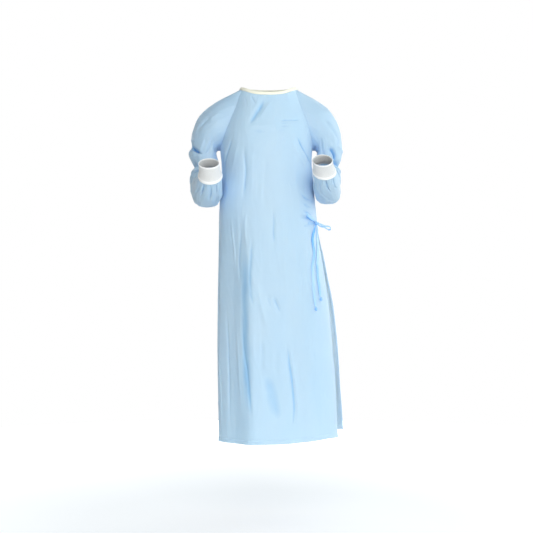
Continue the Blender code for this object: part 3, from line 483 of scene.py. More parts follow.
SLEEVE_CREASES_RIGHT = (
    (((4.00, 0.25), (3.93, 0.36), (3.78, 0.50)), 0.0066, -0.0120, 2.2),
    (((3.35, 0.36), (3.50, 0.44), (3.45, 0.53)), 0.0055, 0.0024, 2.0),
    (((4.30, 0.34), (4.50, 0.42), (4.55, 0.52)), 0.0060, 0.0026, 2.0),
    (((4.75, 0.36), (4.86, 0.44), (4.80, 0.54)), 0.0036, -0.0024, 1.8),
    (((6.10, 0.27), (5.92, 0.38), (5.60, 0.52)), 0.0062, -0.0125, 2.2),
    (((5.10, 0.34), (5.25, 0.44), (5.20, 0.54)), 0.0046, -0.0030, 1.9),
    (((6.55, 0.34), (6.50, 0.46), (6.35, 0.58)), 0.0050, 0.0026, 2.0),
    (((9.95, 0.59), (9.2, 0.60), (8.5, 0.58)), 0.0034, -0.0040, 1.8),
    (((9.95, 0.67), (9.4, 0.67), (8.7, 0.66)), 0.0032, -0.0044, 1.7),
    (((9.95, 0.76), (9.2, 0.77), (8.4, 0.76)), 0.0034, -0.0046, 1.7),
    (((9.95, 0.84), (9.4, 0.85), (8.8, 0.85)), 0.0032, -0.0036, 1.8),
    (((9.8, 0.93), (9.0, 0.90), (8.2, 0.88), (7.3, 0.84)), 0.0045, -0.0026, 1.9),
    (((8.3, 0.62), (7.6, 0.70), (7.2, 0.80)), 0.0055, -0.0022, 1.9),
    (((7.6, 0.90), (7.0, 0.80), (6.8, 0.68)), 0.0060, 0.0020, 2.0),
    (((6.8, 0.60), (6.5, 0.72), (6.6, 0.86)), 0.0055, -0.0020, 2.0),
    (((1.3, 0.31), (2.2, 0.34), (3.1, 0.38)), 0.0060, -0.0024, 1.9),
    (((1.2, 0.43), (2.0, 0.44), (2.9, 0.46)), 0.0070, 0.0016, 2.0),
    (((1.3, 0.19), (2.3, 0.17), (3.4, 0.20), (4.3, 0.26)), 0.0060, -0.0026, 1.9),
    (((1.2, 0.09), (2.1, 0.08), (3.0, 0.12)), 0.0050, -0.0020, 1.8),
    (((2.5, 0.26), (3.5, 0.28), (4.5, 0.31)), 0.0065, 0.0020, 2.0),
    (((5.5, 0.05), (5.4, 0.16), (5.5, 0.28)), 0.0050, -0.0046, 1.8),
    (((6.15, 0.08), (6.0, 0.20), (6.15, 0.34)), 0.0050, -0.0040, 1.8),
    (((6.9, 0.12), (7.7, 0.20), (8.5, 0.28)), 0.0050, -0.0020, 1.9),
    (((7.3, 0.36), (8.2, 0.43), (9.1, 0.45)), 0.0050, -0.0018, 1.9),
    (((1.6, 0.61), (2.6, 0.64), (3.6, 0.65), (4.7, 0.63)), 0.0065, -0.0026, 1.9),
    (((1.4, 0.79), (2.4, 0.78), (3.4, 0.76), (4.4, 0.72)), 0.0060, -0.0022, 1.9),
    (((2.2, 0.70), (3.1, 0.71), (4.0, 0.69)), 0.0065, 0.0018, 2.0),
    (((1.2, 0.91), (2.1, 0.92), (3.0, 0.88)), 0.0050, -0.0020, 1.8),
)

# Fine relief, in metres. A turned band has its width and how far it stands out; a seam has the depth and
# half width of its dip, the height of its puckers, and their wave as count, sway and slow count a metre
HEM_BAND = (0.0125, 0.0013)
EDGE_BAND = (0.0115, 0.0004)
BAND_SOFTNESS = 0.0015  # width of the step at a band's edge
HEM_ROLL = 0.0012       # the hem's very edge stands out this much more
HEM_ROLL_REACH = 0.0035
BODY_SEAM = (0.0008, 0.0016, 0.00028, (430.0, 2.5, 61.0))
SLEEVE_SEAM = (0.0007, 0.0018, 0.0003, (420.0, 2.0, 70.0))
PUCKER_REACH = 0.008    # a seam's puckers fade over this distance
NECK_PUCKER = 0.0004    # height of the small gathers under the binding
NECK_PUCKER_REACH = 0.012
NECK_CALM = (0.012, 0.030)      # creases start this far over the neckline and are whole this far on
GATHER = 0.0012         # height of the gathers into the cuff
GATHER_REACH = (0.019, 0.005)   # how far up they fade, and how soon they start
ARMHOLE_CALM = 0.9      # sections over which a sleeve's relief grows from the armhole
SLEEVE_RUMPLE = (1.15, 1.6)     # how much stronger and closer a sleeve's rumples are than the body's
BODY_PAINTED_SHADE_DEPTH = 0.009  # painted shade: a panel's colour is deepened by its relief over this depth, for the shade in its creases
BODY_PAINTED_SHADE_MOST = 0.55   # and by no more than this
SLEEVE_PAINTED_SHADE_DEPTH = 0.020        # the depth for a sleeve's painted shade

# Stitches: length and gap, and the radius of the thread
BINDING_STITCH = (0.0028, 0.0010)
HEM_STITCH = (0.0034, 0.0012)
THREAD_RADIUS = 0.00022
STITCH_LIFT = 0.00062   # how far off the middle of the cloth they lie
BINDING_STITCH_LIFT = 0.0019    # the same on the binding
BINDING_STITCH_HEIGHT = 0.0010  # and how far over the seam they are there
BINDING_STITCH_POINTS = 900
STITCH_PLACES = (0.0, 0.25, 0.75, 1.0)  # shares of a stitch's length where its rings of points are
STITCH_THICK = (0.35, 0.95, 0.95, 0.35) # their radii, in radii of the thread
STITCH_ARCH = (-0.4, 0.5, 0.5, -0.4)    # and how far they are raised, in the same
STITCH_SIDES = 6

# Mesh sizes
YOKE_ROWS = 80
BODY_ROWS = 150
HEM_ROWS = 10
HEM_ROWS_HEIGHT = 0.014 # height over the hem that these rows take
SKIRT_SPACING = 1.35    # power that brings the skirt's rows closer together under the arms
HEM_STITCH_ROW = -8     # row of the hem's stitches, counted from the last
EDGE_STITCH_COLUMN = -3 # and column of the stitches along the wrap's edge
NECK_STEPS = 24
FRONT_COLUMNS = 200
OVER_COLUMNS = 184
UNDER_COLUMNS = 96
SLEEVE_ROWS = 200
BINDING_COLUMNS = 760
CUFF_RIBS = 70
RIB_POINTS = 6
CUFF_ROWS = 26
STRIP_ROWS = 90
STRIP_POINTS = 7
FRONT_LOOP_POINTS = 49
SIDE_LOOP_POINTS = 67
STRAP_POINTS = 41
KNOT_ROWS = 27
KNOT_COLUMNS = 36
CREASE_POINTS = 12
BODY_RADIUS = 0.155     # turns degrees round the body into metres along the cloth
SLEEVE_SECTION = 0.053  # the same for sections along a sleeve
SLEEVE_ROUND = 0.40     # and for places round it
SLEEVE_UNDER = 0.36     # and near the seam under the arm
SEAM_RADIUS = 0.85 * BODY_RADIUS        # and for degrees at the seams of the body

# The camera stands where the photograph was taken from, in metres
CAMERA_PLACE = (-0.007, -4.5, -0.60)
CAMERA_LENS = 89.4
ORIGIN_PIXEL = (268.5, 90.0)    # where the photograph shows the part's origin
PIXEL_SIZE = 0.0034             # a pixel of the photograph at the depth of the origin
SIDE_SEEN = 0.995               # creases are placed up to this share of the body's half width
FLOOR_Z = -1.47
LAMP_TINT = (1.0, 0.97, 0.93)
SURROUND_TINT = (0.82, 0.93, 1.0)
SURROUND_SIDES = (0.10, 1.50)   # how bright the surround is on the wearer's right and left
LAMP_TARGET = (0.0, 0.0, -0.55)
BACK_LEFT_POWER = 30.0
BACK_RIGHT_POWER = 14.0
FLOOR_RINGS = (0.0001, 0.5, 1.0, 2.0, 3.0)      # radii in metres
FLOOR_POINTS = 48       # round each ring
FLOOR_GLOW = (1.6, 3.2, 0.34, 1.0)      # distances from the origin, and the glow at both
FLOOR_LIGHT = 0.25      # share of its glow that lights the gown


def spline(knots, values, at):
    """Cubic through the values at rising knots, its slopes the mean slopes of the neighbours."""
    knots = np.asarray(knots, float)
    values = np.asarray(values, float)
    at = np.clip(np.asarray(at, float), knots[0], knots[-1])
    slopes = np.gradient(values, knots, axis=0)
    index = np.clip(np.searchsorted(knots, at, side="right") - 1, 0, len(knots) - 2)
    step = knots[index + 1] - knots[index]
    part = (at - knots[index]) / step
    extra = (1,) * (values.ndim - 1)
    part = part.reshape(part.shape + extra)
    step = step.reshape(step.shape + extra)
    start, end = values[index], values[index + 1]
    rise, fall = slopes[index] * step, slopes[index + 1] * step
    return (
        start * (1 + 2 * part) * (1 - part) ** 2
        + rise * part * (1 - part) ** 2
        + end * part**2 * (3 - 2 * part)
        + fall * part**2 * (part - 1)
    )


def table(rows, column, at):
    """A column of a table whose first column falls, read smoothly at `at`."""
    values = np.array(rows, float)[::-1]
    return spline(values[:, 0], values[:, column], at)


def smooth(value):
    """A soft step from 0 to 1: three times the square less twice the cube."""
    value = np.clip(value, 0.0, 1.0)
    return value * value * (3 - 2 * value)


def apart(angle, middle):
    """Degrees between two angles, the short way round."""
    return (np.asarray(angle) - middle + 180.0) % 360.0 - 180.0


def unit(vectors):
    """Each vector divided by its own length."""
    return vectors / np.linalg.norm(vectors, axis=-1, keepdims=True)


def along_line(line, count):
    """A line of points made smooth and read at `count` even places of its length."""
    points = np.array(line, float)
    knots = np.concatenate([[0], np.cumsum(np.linalg.norm(np.diff(points, axis=0), axis=1))])
    return spline(knots, points, np.linspace(0, knots[-1], count))


def crease(across, along, line, half_width, depth, sharpness):
    """One crease on a sheet laid flat. Its depth falls off as e to the minus distance over half width, to
    the power of its sharpness, and fades to nothing over the last third towards both of its ends."""
    relief = np.zeros(across.shape)
    reach = 3.2 * half_width
    low, high = line.min(axis=0) - reach, line.max(axis=0) + reach
    near = (across > low[0]) & (across < high[0]) & (along > low[1]) & (along < high[1])
    if not near.any():
        return relief
    place = np.stack([across[near], along[near]], axis=-1)
    steps = np.diff(line, axis=0)
    lengths = np.linalg.norm(steps, axis=1)
    done = np.concatenate([[0], np.cumsum(lengths)])
    nearest = np.full(len(place), 1e9)
    share = np.zeros(len(place))
    for start, step, length, before in zip(line[:-1], steps, lengths, done[:-1]):
        part = np.clip(((place - start) @ step) / length**2, 0, 1)
        distance = np.linalg.norm(place - start - part[:, None] * step, axis=1)
        closer = distance < nearest
        nearest[closer] = distance[closer]
        share[closer] = (before + part[closer] * length) / done[-1]
    fade = smooth(share / 0.33) * smooth((1 - share) / 0.33)
    relief[near] = depth * fade * np.exp(-((nearest / half_width) ** sharpness))
    return relief


def body_creases(angle, height, creases, strength):
    """Sum of a table of creases given in degrees and heights."""
    total = np.zeros(angle.shape)
    for line, half_width, depth, sharpness in creases:
        middle = line[len(line) // 2][0]
        flat = np.array(line)
        flat[:, 0] = np.radians(flat[:, 0] - middle) * BODY_RADIUS
        across = np.radians(apart(angle, middle)) * BODY_RADIUS
        path = along_line(flat, CREASE_POINTS)
        total += crease(across, height, path, half_width, strength * depth, sharpness)
    return total


def swell(across, along, seed, count, turns, climb):
    """Sum of `count` waves of random direction and phase, scaled to about -1 to 1. `across` is in
    radians, so that whole numbers of turns close on themselves; `climb` is in radians a metre."""
    pick = np.random.default_rng(seed)
    total = np.zeros(across.shape)
    for _ in range(count):
        round_count = pick.integers(turns[0], turns[1] + 1)
        slope = pick.uniform(-climb, climb)
        total += np.cos(round_count * across + slope * along + pick.uniform(0, 2 * math.pi))
    return total / math.sqrt(2.0 * count)


def rumple(across, along, seed, strength):
    """Uneven soft relief of hanging cloth: long upright swells, shorter ones, and crisp low ridges where
    a third set of waves crosses zero; each set is stronger in some patches than in others."""
    patch = 0.55 + 0.45 * smooth(0.5 + 0.6 * swell(across, along, seed + 1, 10, (1, 5), 9.0))
    long_swell = swell(across, along, seed + 2, 22, (4, 15), 11.0)
    short_swell = swell(across, along, seed + 3, 30, (12, 42), 60.0)
    crossing = swell(across, along, seed + 4, 26, (6, 30), 42.0)
    crisp = np.exp(-np.abs(crossing) * 7.0)
    return strength * patch * (0.00055 * long_swell + 0.00016 * short_swell + 0.00042 * crisp)


def uneven(place, count, sway, slow):
    """A wave whose crests are set to and fro by a slower wave; counts are in radians for each unit."""
    return np.cos(count * place + sway * np.sin(slow * place))


def sewn_seam(off, along, seam):
    """Relief beside a seam: a narrow dip, and small puckers along it that fade sideways."""
    dip, half_width, pucker, wave = seam
    puckers = uneven(along, *wave) * np.exp(-np.abs(off) / PUCKER_REACH)
    return pucker * puckers - dip * np.exp(-((off / half_width) ** 2))


def turned_band(off_edge, width, stands):
    """Relief of a turned and sewn band, by the distance from its edge."""
    return stands * smooth((width - off_edge) / BAND_SOFTNESS)


def fold_depth(angle, height):
    """How far the large folds move the cloth outwards: bells across their width, deepening downwards."""
    total = np.zeros(np.broadcast(angle, height).shape)
    for top_angle, hem_angle, top, bottom, width, depth in FOLDS:
        share = np.clip((top - height) / (top - bottom), 0.0, 1.0)
        middle = top_angle + (hem_angle - top_angle) * share
        across = np.exp(-((apart(angle, middle) / width) ** 2))
        total += depth * across * smooth((top - height) / FOLD_RISE)
    return total


def neck_height(angle):
    """Height of the cloth's edge at the neckline."""
    rows = np.array(NECKLINE)
    level = np.concatenate([[[-rows[1, 0], rows[1, 1]]], rows])
    return spline(level[:, 0], level[:, 1], np.abs(apart(angle, 0.0)))


def seen_on_body(pixels):
    """Angles and heights on the body's smooth cloth of what the photograph shows at pixels: each lies where
    the camera's line through its pixel meets the ring of its height, which a few rounds find."""
    across, down = np.array(pixels, float).T
    flat_x = (across - ORIGIN_PIXEL[0]) * PIXEL_SIZE
    flat_height = (ORIGIN_PIXEL[1] - down) * PIXEL_SIZE
    y = np.full(len(pixels), -BODY[0][3])
    for _ in range(5):
        share = 1 - y / CAMERA_PLACE[1]
        x = CAMERA_PLACE[0] + (flat_x - CAMERA_PLACE[0]) * share
        height = CAMERA_PLACE[2] + (flat_height - CAMERA_PLACE[2]) * share
        wide = np.where(x > 0, table(BODY, 2, height), table(BODY, 1, height))
        turn = np.arcsin(np.minimum(np.abs(x) / wide, SIDE_SEEN) ** (1 / ROUNDNESS))
        y = -table(BODY, 3, height) * np.cos(turn) ** ROUNDNESS
    return np.stack([np.degrees(turn) * np.sign(x), height], axis=1)


def seam_valley(angle, height):
    """The dips and small puckers along the raglan and side seams."""
    total = np.zeros(angle.shape)
    for rows, sides in ((RAGLAN_FRONT, (1, -1)), (RAGLAN_BACK, (1, -1))):
        values = np.array(rows)[::-1]
        seam = spline(values[:, 0], values[:, 1], height)
        for side in sides:
            off = np.radians(apart(angle, side * seam)) * SEAM_RADIUS
            shown = np.where(height > UNDERARM_Z, 1.0, 0.0 if rows is RAGLAN_BACK else 1.0)
            total += shown * sewn_seam(off, height, BODY_SEAM)
    return total


def neck_puckers(angle, height):
    """Small gathers under the binding: uneven waves round the neck that fade down the cloth."""
    turn = np.radians(angle)
    wave = uneven(turn, 44, 1.7, 5) + 0.6 * uneven(turn, 71, 2.0, 3)
    below = np.clip(neck_height(angle) - height, 0, 1)
    return NECK_PUCKER * wave * np.exp(-below / NECK_PUCKER_REACH)


def neck_calm(angle, height):
    """Share of the creases that shows: little at the neckline, where the binding holds the cloth."""
    over, reach = NECK_CALM
    return smooth((neck_height(angle) + over - height) / reach)


def hem_band(height_over_hem):
    """The turned hem: a band that stands out a little, and rolls out at its very edge."""
    return turned_band(height_over_hem, *HEM_BAND) + HEM_ROLL * np.exp(-height_over_hem / HEM_ROLL_REACH)


def base_relief(angle, height, strength):
    """Everything that moves the layer next to the body off its smooth form."""
    seen = [(seen_on_body(pixels), *sizes) for pixels, *sizes in FRONT_CREASES]
    lines = body_creases(angle, height, seen, strength)
    lines += body_creases(angle, height, SIDE_CREASES, strength)
    return (
        neck_calm(angle, height) * (lines + rumple(np.radians(angle), height, 11, strength))
        + seam_valley(angle, height)
        + neck_puckers(angle, height)
    )


def body_point(angle, height, lift=0.0, relief=0.0):
    """Points of the body's cloth: a squared oval ring at each height, moved out square to the ring by the
    large folds, the relief and the lift."""
    angle, height, lift = np.broadcast_arrays(angle, height, lift)
    turn = np.radians(angle)
    side, front = np.sin(turn), np.cos(turn)
    wide = np.where(side > 0, table(BODY, 2, height), table(BODY, 1, height))
    deep = np.where(front > 0, table(BODY, 3, height), table(BODY, 4, height))
    x = wide * np.sign(side) * np.abs(side) ** ROUNDNESS
    y = -deep * np.sign(front) * np.abs(front) ** ROUNDNESS
    power = 2 / ROUNDNESS - 1
    normal_x = np.sign(side) * np.abs(x / wide) ** power / wide
    normal_y = -np.sign(front) * np.abs(y / deep) ** power / deep
    size = np.hypot(normal_x, normal_y)
    out = fold_depth(angle, height) + lift + relief
    return np.stack([x + out * normal_x / size, y + out * normal_y / size, height + 0 * x], axis=-1)


def raglan(rows, share):
    """Height and angle down a raglan seam, from 0 at the neckline to 1 at the underarm."""
    values = np.array(rows)
    return spline(np.linspace(0, 1, len(values)), values, share)


def hem_lift(angle, height):
    """How far the cloth near the hem is drawn up below the bow."""
    middle, width, rise = HEM_RISE
    share = smooth((HEM_RISE_TOP - height) / (HEM_RISE_TOP - HEM_Z))
    return rise * share * np.exp(-((apart(angle, middle) / width) ** 2))


def skirt_heights():
    """Heights of the rows below the underarm, closer together at their top and for the hem's band."""
    band_top = HEM_Z + HEM_ROWS_HEIGHT
    share = np.linspace(0, 1, BODY_ROWS - HEM_ROWS + 1)[1:] ** SKIRT_SPACING
    main = UNDERARM_Z + (band_top - UNDERARM_Z) * share
    return np.concatenate([main, np.linspace(band_top, HEM_Z, HEM_ROWS + 1)[1:]])


def panel_grid(columns, start, end):
    """Angles and heights of a panel: straight blends between its two edges, with the neckline's dip
    added at the top and fading down the yoke."""
    across = np.linspace(0, 1, columns + 1)
    angle = start[:, 1:2] * (1 - across) + end[:, 1:2] * across
    height = start[:, 0:1] * (1 - across) + end[:, 0:1] * across
    yoke = (1 - np.linspace(0, 1, YOKE_ROWS + 1)) ** NECK_FADE
    blend = np.concatenate([yoke, np.zeros(len(start) - YOKE_ROWS - 1)])[:, None]
    dip = neck_height(angle) - (
        neck_height(start[:, 1:2]) * (1 - across) + neck_height(end[:, 1:2]) * across
    )
    height = height + dip * blend
    return angle, height + hem_lift(angle, height)


def seam_edge(rows, sign):
    """(height, angle) of a panel's edge: down the raglan seam, then down the side seam to the hem."""
    top = raglan(rows, np.linspace(0, 1, YOKE_ROWS + 1))
    below = skirt_heights()
    edge = np.concatenate([top, np.stack([below, np.full(len(below), SIDE_ANGLE)], axis=1)])
    edge[:, 1] *= sign
    return edge


def over_hem(angle, height):
    """Height of each point over the hem below it."""
    return height - (HEM_Z + hem_lift(angle, HEM_Z))


def flat_places(across, along):
    """Where the points of a grid lie on the cloth laid flat, from places across it and along it."""
    return np.stack(np.broadcast_arrays(across[None], along[:, None]), axis=-1)


def cloth_places(angle, height):
    """Where each point lies on the cloth laid flat, in metres, for the patterns."""
    return np.stack([np.radians(angle) * BODY_RADIUS, height], axis=-1)


def front_surface(strength):
    """The front from side seam to side seam: the body's form with its creases and turned hem."""
    angle, height = panel_grid(FRONT_COLUMNS, seam_edge(RAGLAN_FRONT, -1), seam_edge(RAGLAN_FRONT, 1))
    relief = base_relief(angle, height, strength) + hem_band(over_hem(angle, height))
    return body_point(angle, height, 0.0, relief), cloth_places(angle, height), relief


def wrap_lift(angle, edge_angle, edge_lift):
    """How far the wrap stands off: nothing at its side seam, a layer at the back, more at its free edge."""
    layer = WRAP_LIFT * smooth((WRAP_LEAVES[0] - angle) / WRAP_LEAVES[1])
    swing = smooth((edge_angle + WRAP_FLARE - angle) / WRAP_FLARE)
    return layer + (edge_lift - WRAP_LIFT) * swing


def over_edge():
    """(height, angle) down the free edge of the wrap."""
    free = np.concatenate([np.linspace(WRAP_EDGE[0][0], UNDERARM_Z, YOKE_ROWS + 1), skirt_heights()])
    edge = np.stack([free, table(WRAP_EDGE, 1, free)], axis=1)
    edge[0, 0] = neck_height(edge[0, 1])
    return edge


def over_grid():
    """Angles, heights and lifts of the wrap, from its side seam to its free edge."""
    seam = seam_edge(RAGLAN_BACK, -1)
    seam[:, 1] += 360.0
    edge = over_edge()
    angle, height = panel_grid(OVER_COLUMNS, seam, edge)
    lift = wrap_lift(angle, edge[:, 1:2], table(WRAP_EDGE, 2, edge[:, 0])[:, None])
    from_angle, over_angle, from_height, over_height = WRAP_RISE
    raised = smooth((from_angle - angle) / over_angle) * smooth((from_height - height) / over_height)
    return angle, height, lift, WRAP_HEM_RISE * raised


def over_surface(strength):
    """The wrap: next to the body at its side seam, its own creases from where the layers part, and a
    turned band along its free edge."""
    angle, height, lift, raised = over_grid()
    leaves = smooth((WRAP_CREASED[0] - angle) / WRAP_CREASED[1])
    own = body_creases(angle, height, WRAP_CREASES, strength)
    own += rumple(np.radians(angle), height, 47, strength)
    own = neck_calm(angle, height) * own + neck_puckers(angle, height)
    own = np.where(own < 0, WRAP_SINKS * np.tanh(own / WRAP_SINKS), own)
    base = base_relief(angle, height, strength)
    edge_band = turned_band(np.radians(angle - angle[:, -1:]) * WRAP_RADIUS, *EDGE_BAND)
    relief = base * (1 - leaves) + own * leaves + edge_band + hem_band(over_hem(angle, height))
    return body_point(angle, height + raised, lift, relief), cloth_places(angle, height), relief


def under_surface(strength):
    """The layer under the wrap: creased where it shows beside the wrap, calm where it is covered."""
    seam = seam_edge(RAGLAN_BACK, 1)
    free = seam[:, 0].copy()
    free[0] = neck_height(UNDER_EDGE)
    edge = np.stack([free, np.full(len(free), UNDER_EDGE)], axis=1)
    angle, height = panel_grid(UNDER_COLUMNS, seam, edge)
    wrap_angle = table(WRAP_EDGE, 1, np.clip(height, WRAP_EDGE[-1][0], WRAP_EDGE[0][0]))
    shows = smooth((wrap_angle + UNDER_CALM[0] - angle) / UNDER_CALM[1])
    relief = np.minimum(base_relief(angle, height, strength) * shows, UNDER_RISES)
    relief = relief + hem_band(over_hem(angle, height))
    return body_point(angle, height, 0.0, relief), cloth_places(angle, height), relief


def armhole(side, strength, lift=0.0):
    """The closed edge that a sleeve is sewn to: up the front seam, over the neckline, down the back."""
    share = np.linspace(0, 1, YOKE_ROWS + 1)
    front = raglan(RAGLAN_FRONT, share[::-1])
    back = raglan(RAGLAN_BACK, share)
    over = np.linspace(RAGLAN_FRONT[0][1], RAGLAN_BACK[0][1], NECK_STEPS + 1)[1:-1]
    neck = np.stack([neck_height(over), over], axis=1)
    loop = np.concatenate([front, neck, back[:-1]])
    angle, height = side * loop[:, 1], loop[:, 0]
    return body_point(angle, height, lift, base_relief(angle, height, strength))


def around_places():
    """Place around the sleeve, 0 to 1, of each point of the armhole."""
    front = np.linspace(0, 0.5 - NECK_SHARE, YOKE_ROWS + 1)
    neck = np.linspace(0.5 - NECK_SHARE, 0.5 + NECK_SHARE, NECK_STEPS + 1)[1:-1]
    back = np.linspace(0.5 + NECK_SHARE, 1, YOKE_ROWS + 1)[:-1]
    return np.concatenate([front, neck, back])


def section(side, middle, out, bend, half_out, half_deep, roundness, around):
    """Points round one oval section. `out` is its unit direction away from the body, in X and Z."""
    lean = math.atan2(out[1], out[0])
    bend = math.radians(bend)
    outward = np.array([math.cos(lean), 0.0, math.sin(lean)])
    forward = np.array([-math.sin(bend) * math.sin(lean), -math.cos(bend), math.sin(bend) * math.cos(lean)])
    turn = 2 * math.pi * around
    across = -np.sign(np.cos(turn)) * np.abs(np.cos(turn)) ** roundness
    deep = np.sign(np.sin(turn)) * np.abs(np.sin(turn)) ** roundness
    offset = across[:, None] * outward * half_out + deep[:, None] * forward * half_deep
    return (np.asarray(middle) + offset) * np.array([side, 1.0, 1.0])


def sleeve_sections(side, rows, around):
    """The sleeve's sections in order, each a row of points, without the armhole."""
    sections = []
    for inner_x, inner_z, outer_x, outer_z, y, bend, deep, roundness in rows:
        out = np.array([outer_x - inner_x, outer_z - inner_z])
        half = 0.5 * np.hypot(*out)
        middle = (0.5 * (inner_x + outer_x), y, 0.5 * (inner_z + outer_z))
        sections.append(section(side, middle, out / (2 * half), bend, half, deep, roundness, around))
    return np.array(sections)


def sleeve_relief(places, around, creases, seed, strength):
    """Creases, rumples, the gathers into the cuff and the underarm seam of one sleeve."""
    along = places[:, None] * SLEEVE_SECTION + 0 * around[None]
    total = np.zeros(along.shape)
    for line, half_width, depth, sharpness in creases:
        middle = line[len(line) // 2][1]
        flat = np.array([[(place - middle) * SLEEVE_ROUND, where * SLEEVE_SECTION] for where, place in line])
        across = ((around - middle + 0.5) % 1.0 - 0.5)[None] * SLEEVE_ROUND + 0 * along
        path = along_line(flat, CREASE_POINTS)
        total += crease(across, along, path, half_width, strength * depth, sharpness)
    turn = 2 * math.pi * around[None] + 0 * along
    stronger, closer = SLEEVE_RUMPLE
    total += stronger * rumple(turn, along * closer, seed, strength)
    from_wrist = (places[-1] - places)[:, None] * SLEEVE_SECTION
    gather = uneven(turn, 19, 2.2, 3) + 0.7 * uneven(turn, 31, 1.5, 4)
    total += GATHER * gather * np.exp(-from_wrist / GATHER_REACH[0]) * smooth(from_wrist / GATHER_REACH[1])
    total -= WRIST_NARROWS * smooth((WRIST_BAND - from_wrist) / WRIST_BAND)
    inner = np.exp(-((((around + 0.5) % 1.0 - 0.5) / INNER_REACH) ** 2))[None]
    first, last, soon = INNER_SPAN
    total += INNER_SWELL * inner * (smooth((places - first) / soon) * smooth((last - places) / soon))[:, None]
    off = np.minimum(around, 1 - around)[None] * SLEEVE_UNDER
    return total + sewn_seam(off, along, SLEEVE_SEAM)


def sleeve_surface(side, rows, folds, creases, seed, strength):
    """A raglan sleeve: oval sections joined smoothly from the armhole to the wrist, moved in and out
    from their middles by the folds, creases and gathers."""
    around = around_places()
    seam, sections = armhole(side, strength), sleeve_sections(side, rows, around)
    under = np.exp(-((np.minimum(around, 1 - around) / UNDERARM_REACH) ** 2))[:, None]
    leaving = under * armhole(side, strength, UNDERARM_FLARE) + (1 - under) * (
        (1 - LEAVING_SHARE) * seam + LEAVING_SHARE * sections[0]
    )
    rings = np.concatenate([seam[None], leaving[None], sections])
    knots = np.concatenate([[0.0, LEAVING_PLACE], np.arange(1, len(rows) + 1)])
    places = np.linspace(0.0, len(rows), SLEEVE_ROWS + 1)
    grid = spline(knots, rings, places)
    away = unit(grid - grid.mean(axis=1, keepdims=True))
    relief = sleeve_relief(places, around, creases, seed, strength)
    relief *= smooth(places / ARMHOLE_CALM)[:, None]
    for along, place, length, width, depth in folds:
        near = np.exp(-(((places - along) / length) ** 2))[:, None]
        across = np.exp(-((((around - place + 0.5) % 1.0 - 0.5) / width) ** 2))[None]
        relief += depth * near * across
    grid += relief[..., None] * away
    turns = np.concatenate([around, [1.0]])
    return grid, flat_places(turns * SLEEVE_ROUND, places * SLEEVE_SECTION), relief


def cuff_surface(side, rows, rim, rib_height):
    """A rib-knit cuff: ovals from just down over the sleeve's end to the rim, ribs as a raised cosine
    round it, a thicker band where it is sewn on and a rolled band at the rim."""
    inner_x, _, outer_x, outer_z, y, bend, deep, roundness = rows[-1]
    around = np.arange(CUFF_RIBS * RIB_POINTS) / (CUFF_RIBS * RIB_POINTS)
    start = np.array([0.5 * (inner_x + outer_x), y, outer_z])
    half = 0.5 * (outer_x - inner_x)
    rim_x, rim_y, rim_z, rim_bend, rim_half, rim_deep = rim
    end = np.array([rim_x, rim_y, rim_z])
    length = np.linalg.norm(end - start)
    shares = np.linspace(-CUFF_LAP / length, 1.0, CUFF_ROWS + 1)
    rings = []
    for share in shares:
        narrow = (CUFF_INSET + CUFF_STANDS) * smooth(share / CUFF_INSET_REACH) - CUFF_STANDS
        narrow += CUFF_WAIST * math.sin(math.pi * max(share, 0.0)) ** 2
        rings.append(
            section(
                side,
                start + (end - start) * share,
                (1.0, 0.0),
                bend + (rim_bend - bend) * share,
                half + (rim_half - half) * share - narrow,
                deep + (rim_deep - deep) * share - narrow,
                roundness,
                around,
            )
        )
    grid = np.array(rings)
    away = unit(grid - grid.mean(axis=1, keepdims=True))
    along = shares * length
    turn = 2 * math.pi * around
    sway = 0.25 * np.sin(3 * turn)[None] + 0.2 * np.sin(9.0 * shares)[:, None]
    rib = np.abs(np.cos(0.5 * (CUFF_RIBS * turn[None] + sway))) ** 0.8
    middle = smooth((along - 0.002) / 0.006) * smooth((length - 0.0035 - along) / 0.003)
    sewn = CUFF_BAND_STANDS * smooth((CUFF_BAND - along) / 0.0018)
    rolled = CUFF_BAND_STANDS * smooth((along - length + CUFF_BAND) / 0.0016)
    relief = rib_height * (0.35 + 0.65 * middle)[:, None] * rib + (sewn + rolled)[:, None]
    soft = 0.0007 * np.cos(2 * turn + 0.8)[None] * np.sin(3.5 * shares)[:, None]
    grid += (relief + soft)[..., None] * away
    turns = np.concatenate([around, [1.0]])
    return grid, flat_places(turns * CUFF_ROUND, CUFF_LENGTH * shares)


def binding_course(count):
    """Angles along the binding, from the wrap's edge round to the under layer's, and how far off the body
    the cloth under it lies."""
    angle = np.linspace(WRAP_EDGE[0][1] - 360.0, UNDER_EDGE, count)
    return angle, WRAP_LIFT * smooth((WRAP_LEAVES[0] - 360.0 - angle) / WRAP_LEAVES[1])


def binding_surface():
    """The neck binding: a folded band, so its section is a flat closed loop, round at the top, carried
    round the neck."""
    angle, layer = binding_course(BINDING_COLUMNS + 1)
    turn = np.radians(angle)
    rib = BINDING_RIB_HEIGHT * np.cos(turn * BINDING_ROUND / BINDING_RIB * 2 * math.pi)
    ease = 0.0005 * np.cos(9 * turn + 1.0) + 0.0003 * np.cos(17 * turn)
    low = neck_height(angle) - BINDING_TUCK
    stretch = (BINDING_SHOWN + BINDING_TUCK) / BINDING_HEIGHT
    rows = []
    for rise, out in BINDING_PROFILE:
        bulge = np.sign(out) * rib if abs(out) > 0.0009 else 0.0
        lift = layer + out + bulge + ease * rise / BINDING_HEIGHT
        rows.append(body_point(angle, low + rise * stretch, lift))
    flat = flat_places(turn * BINDING_ROUND, np.linspace(0, BINDING_FLAT, len(rows) + 1))
    return np.array(rows).transpose(1, 0, 2), flat.transpose(1, 0, 2)


def front_angle(x, height):
    """Angle from the centre front of the cloth at a place seen from the front, on the wearer's left."""
    share = np.clip(np.asarray(x) / table(BODY, 2, height), 0.0, 1.0)
    return np.degrees(np.arcsin(share ** (1 / ROUNDNESS)))


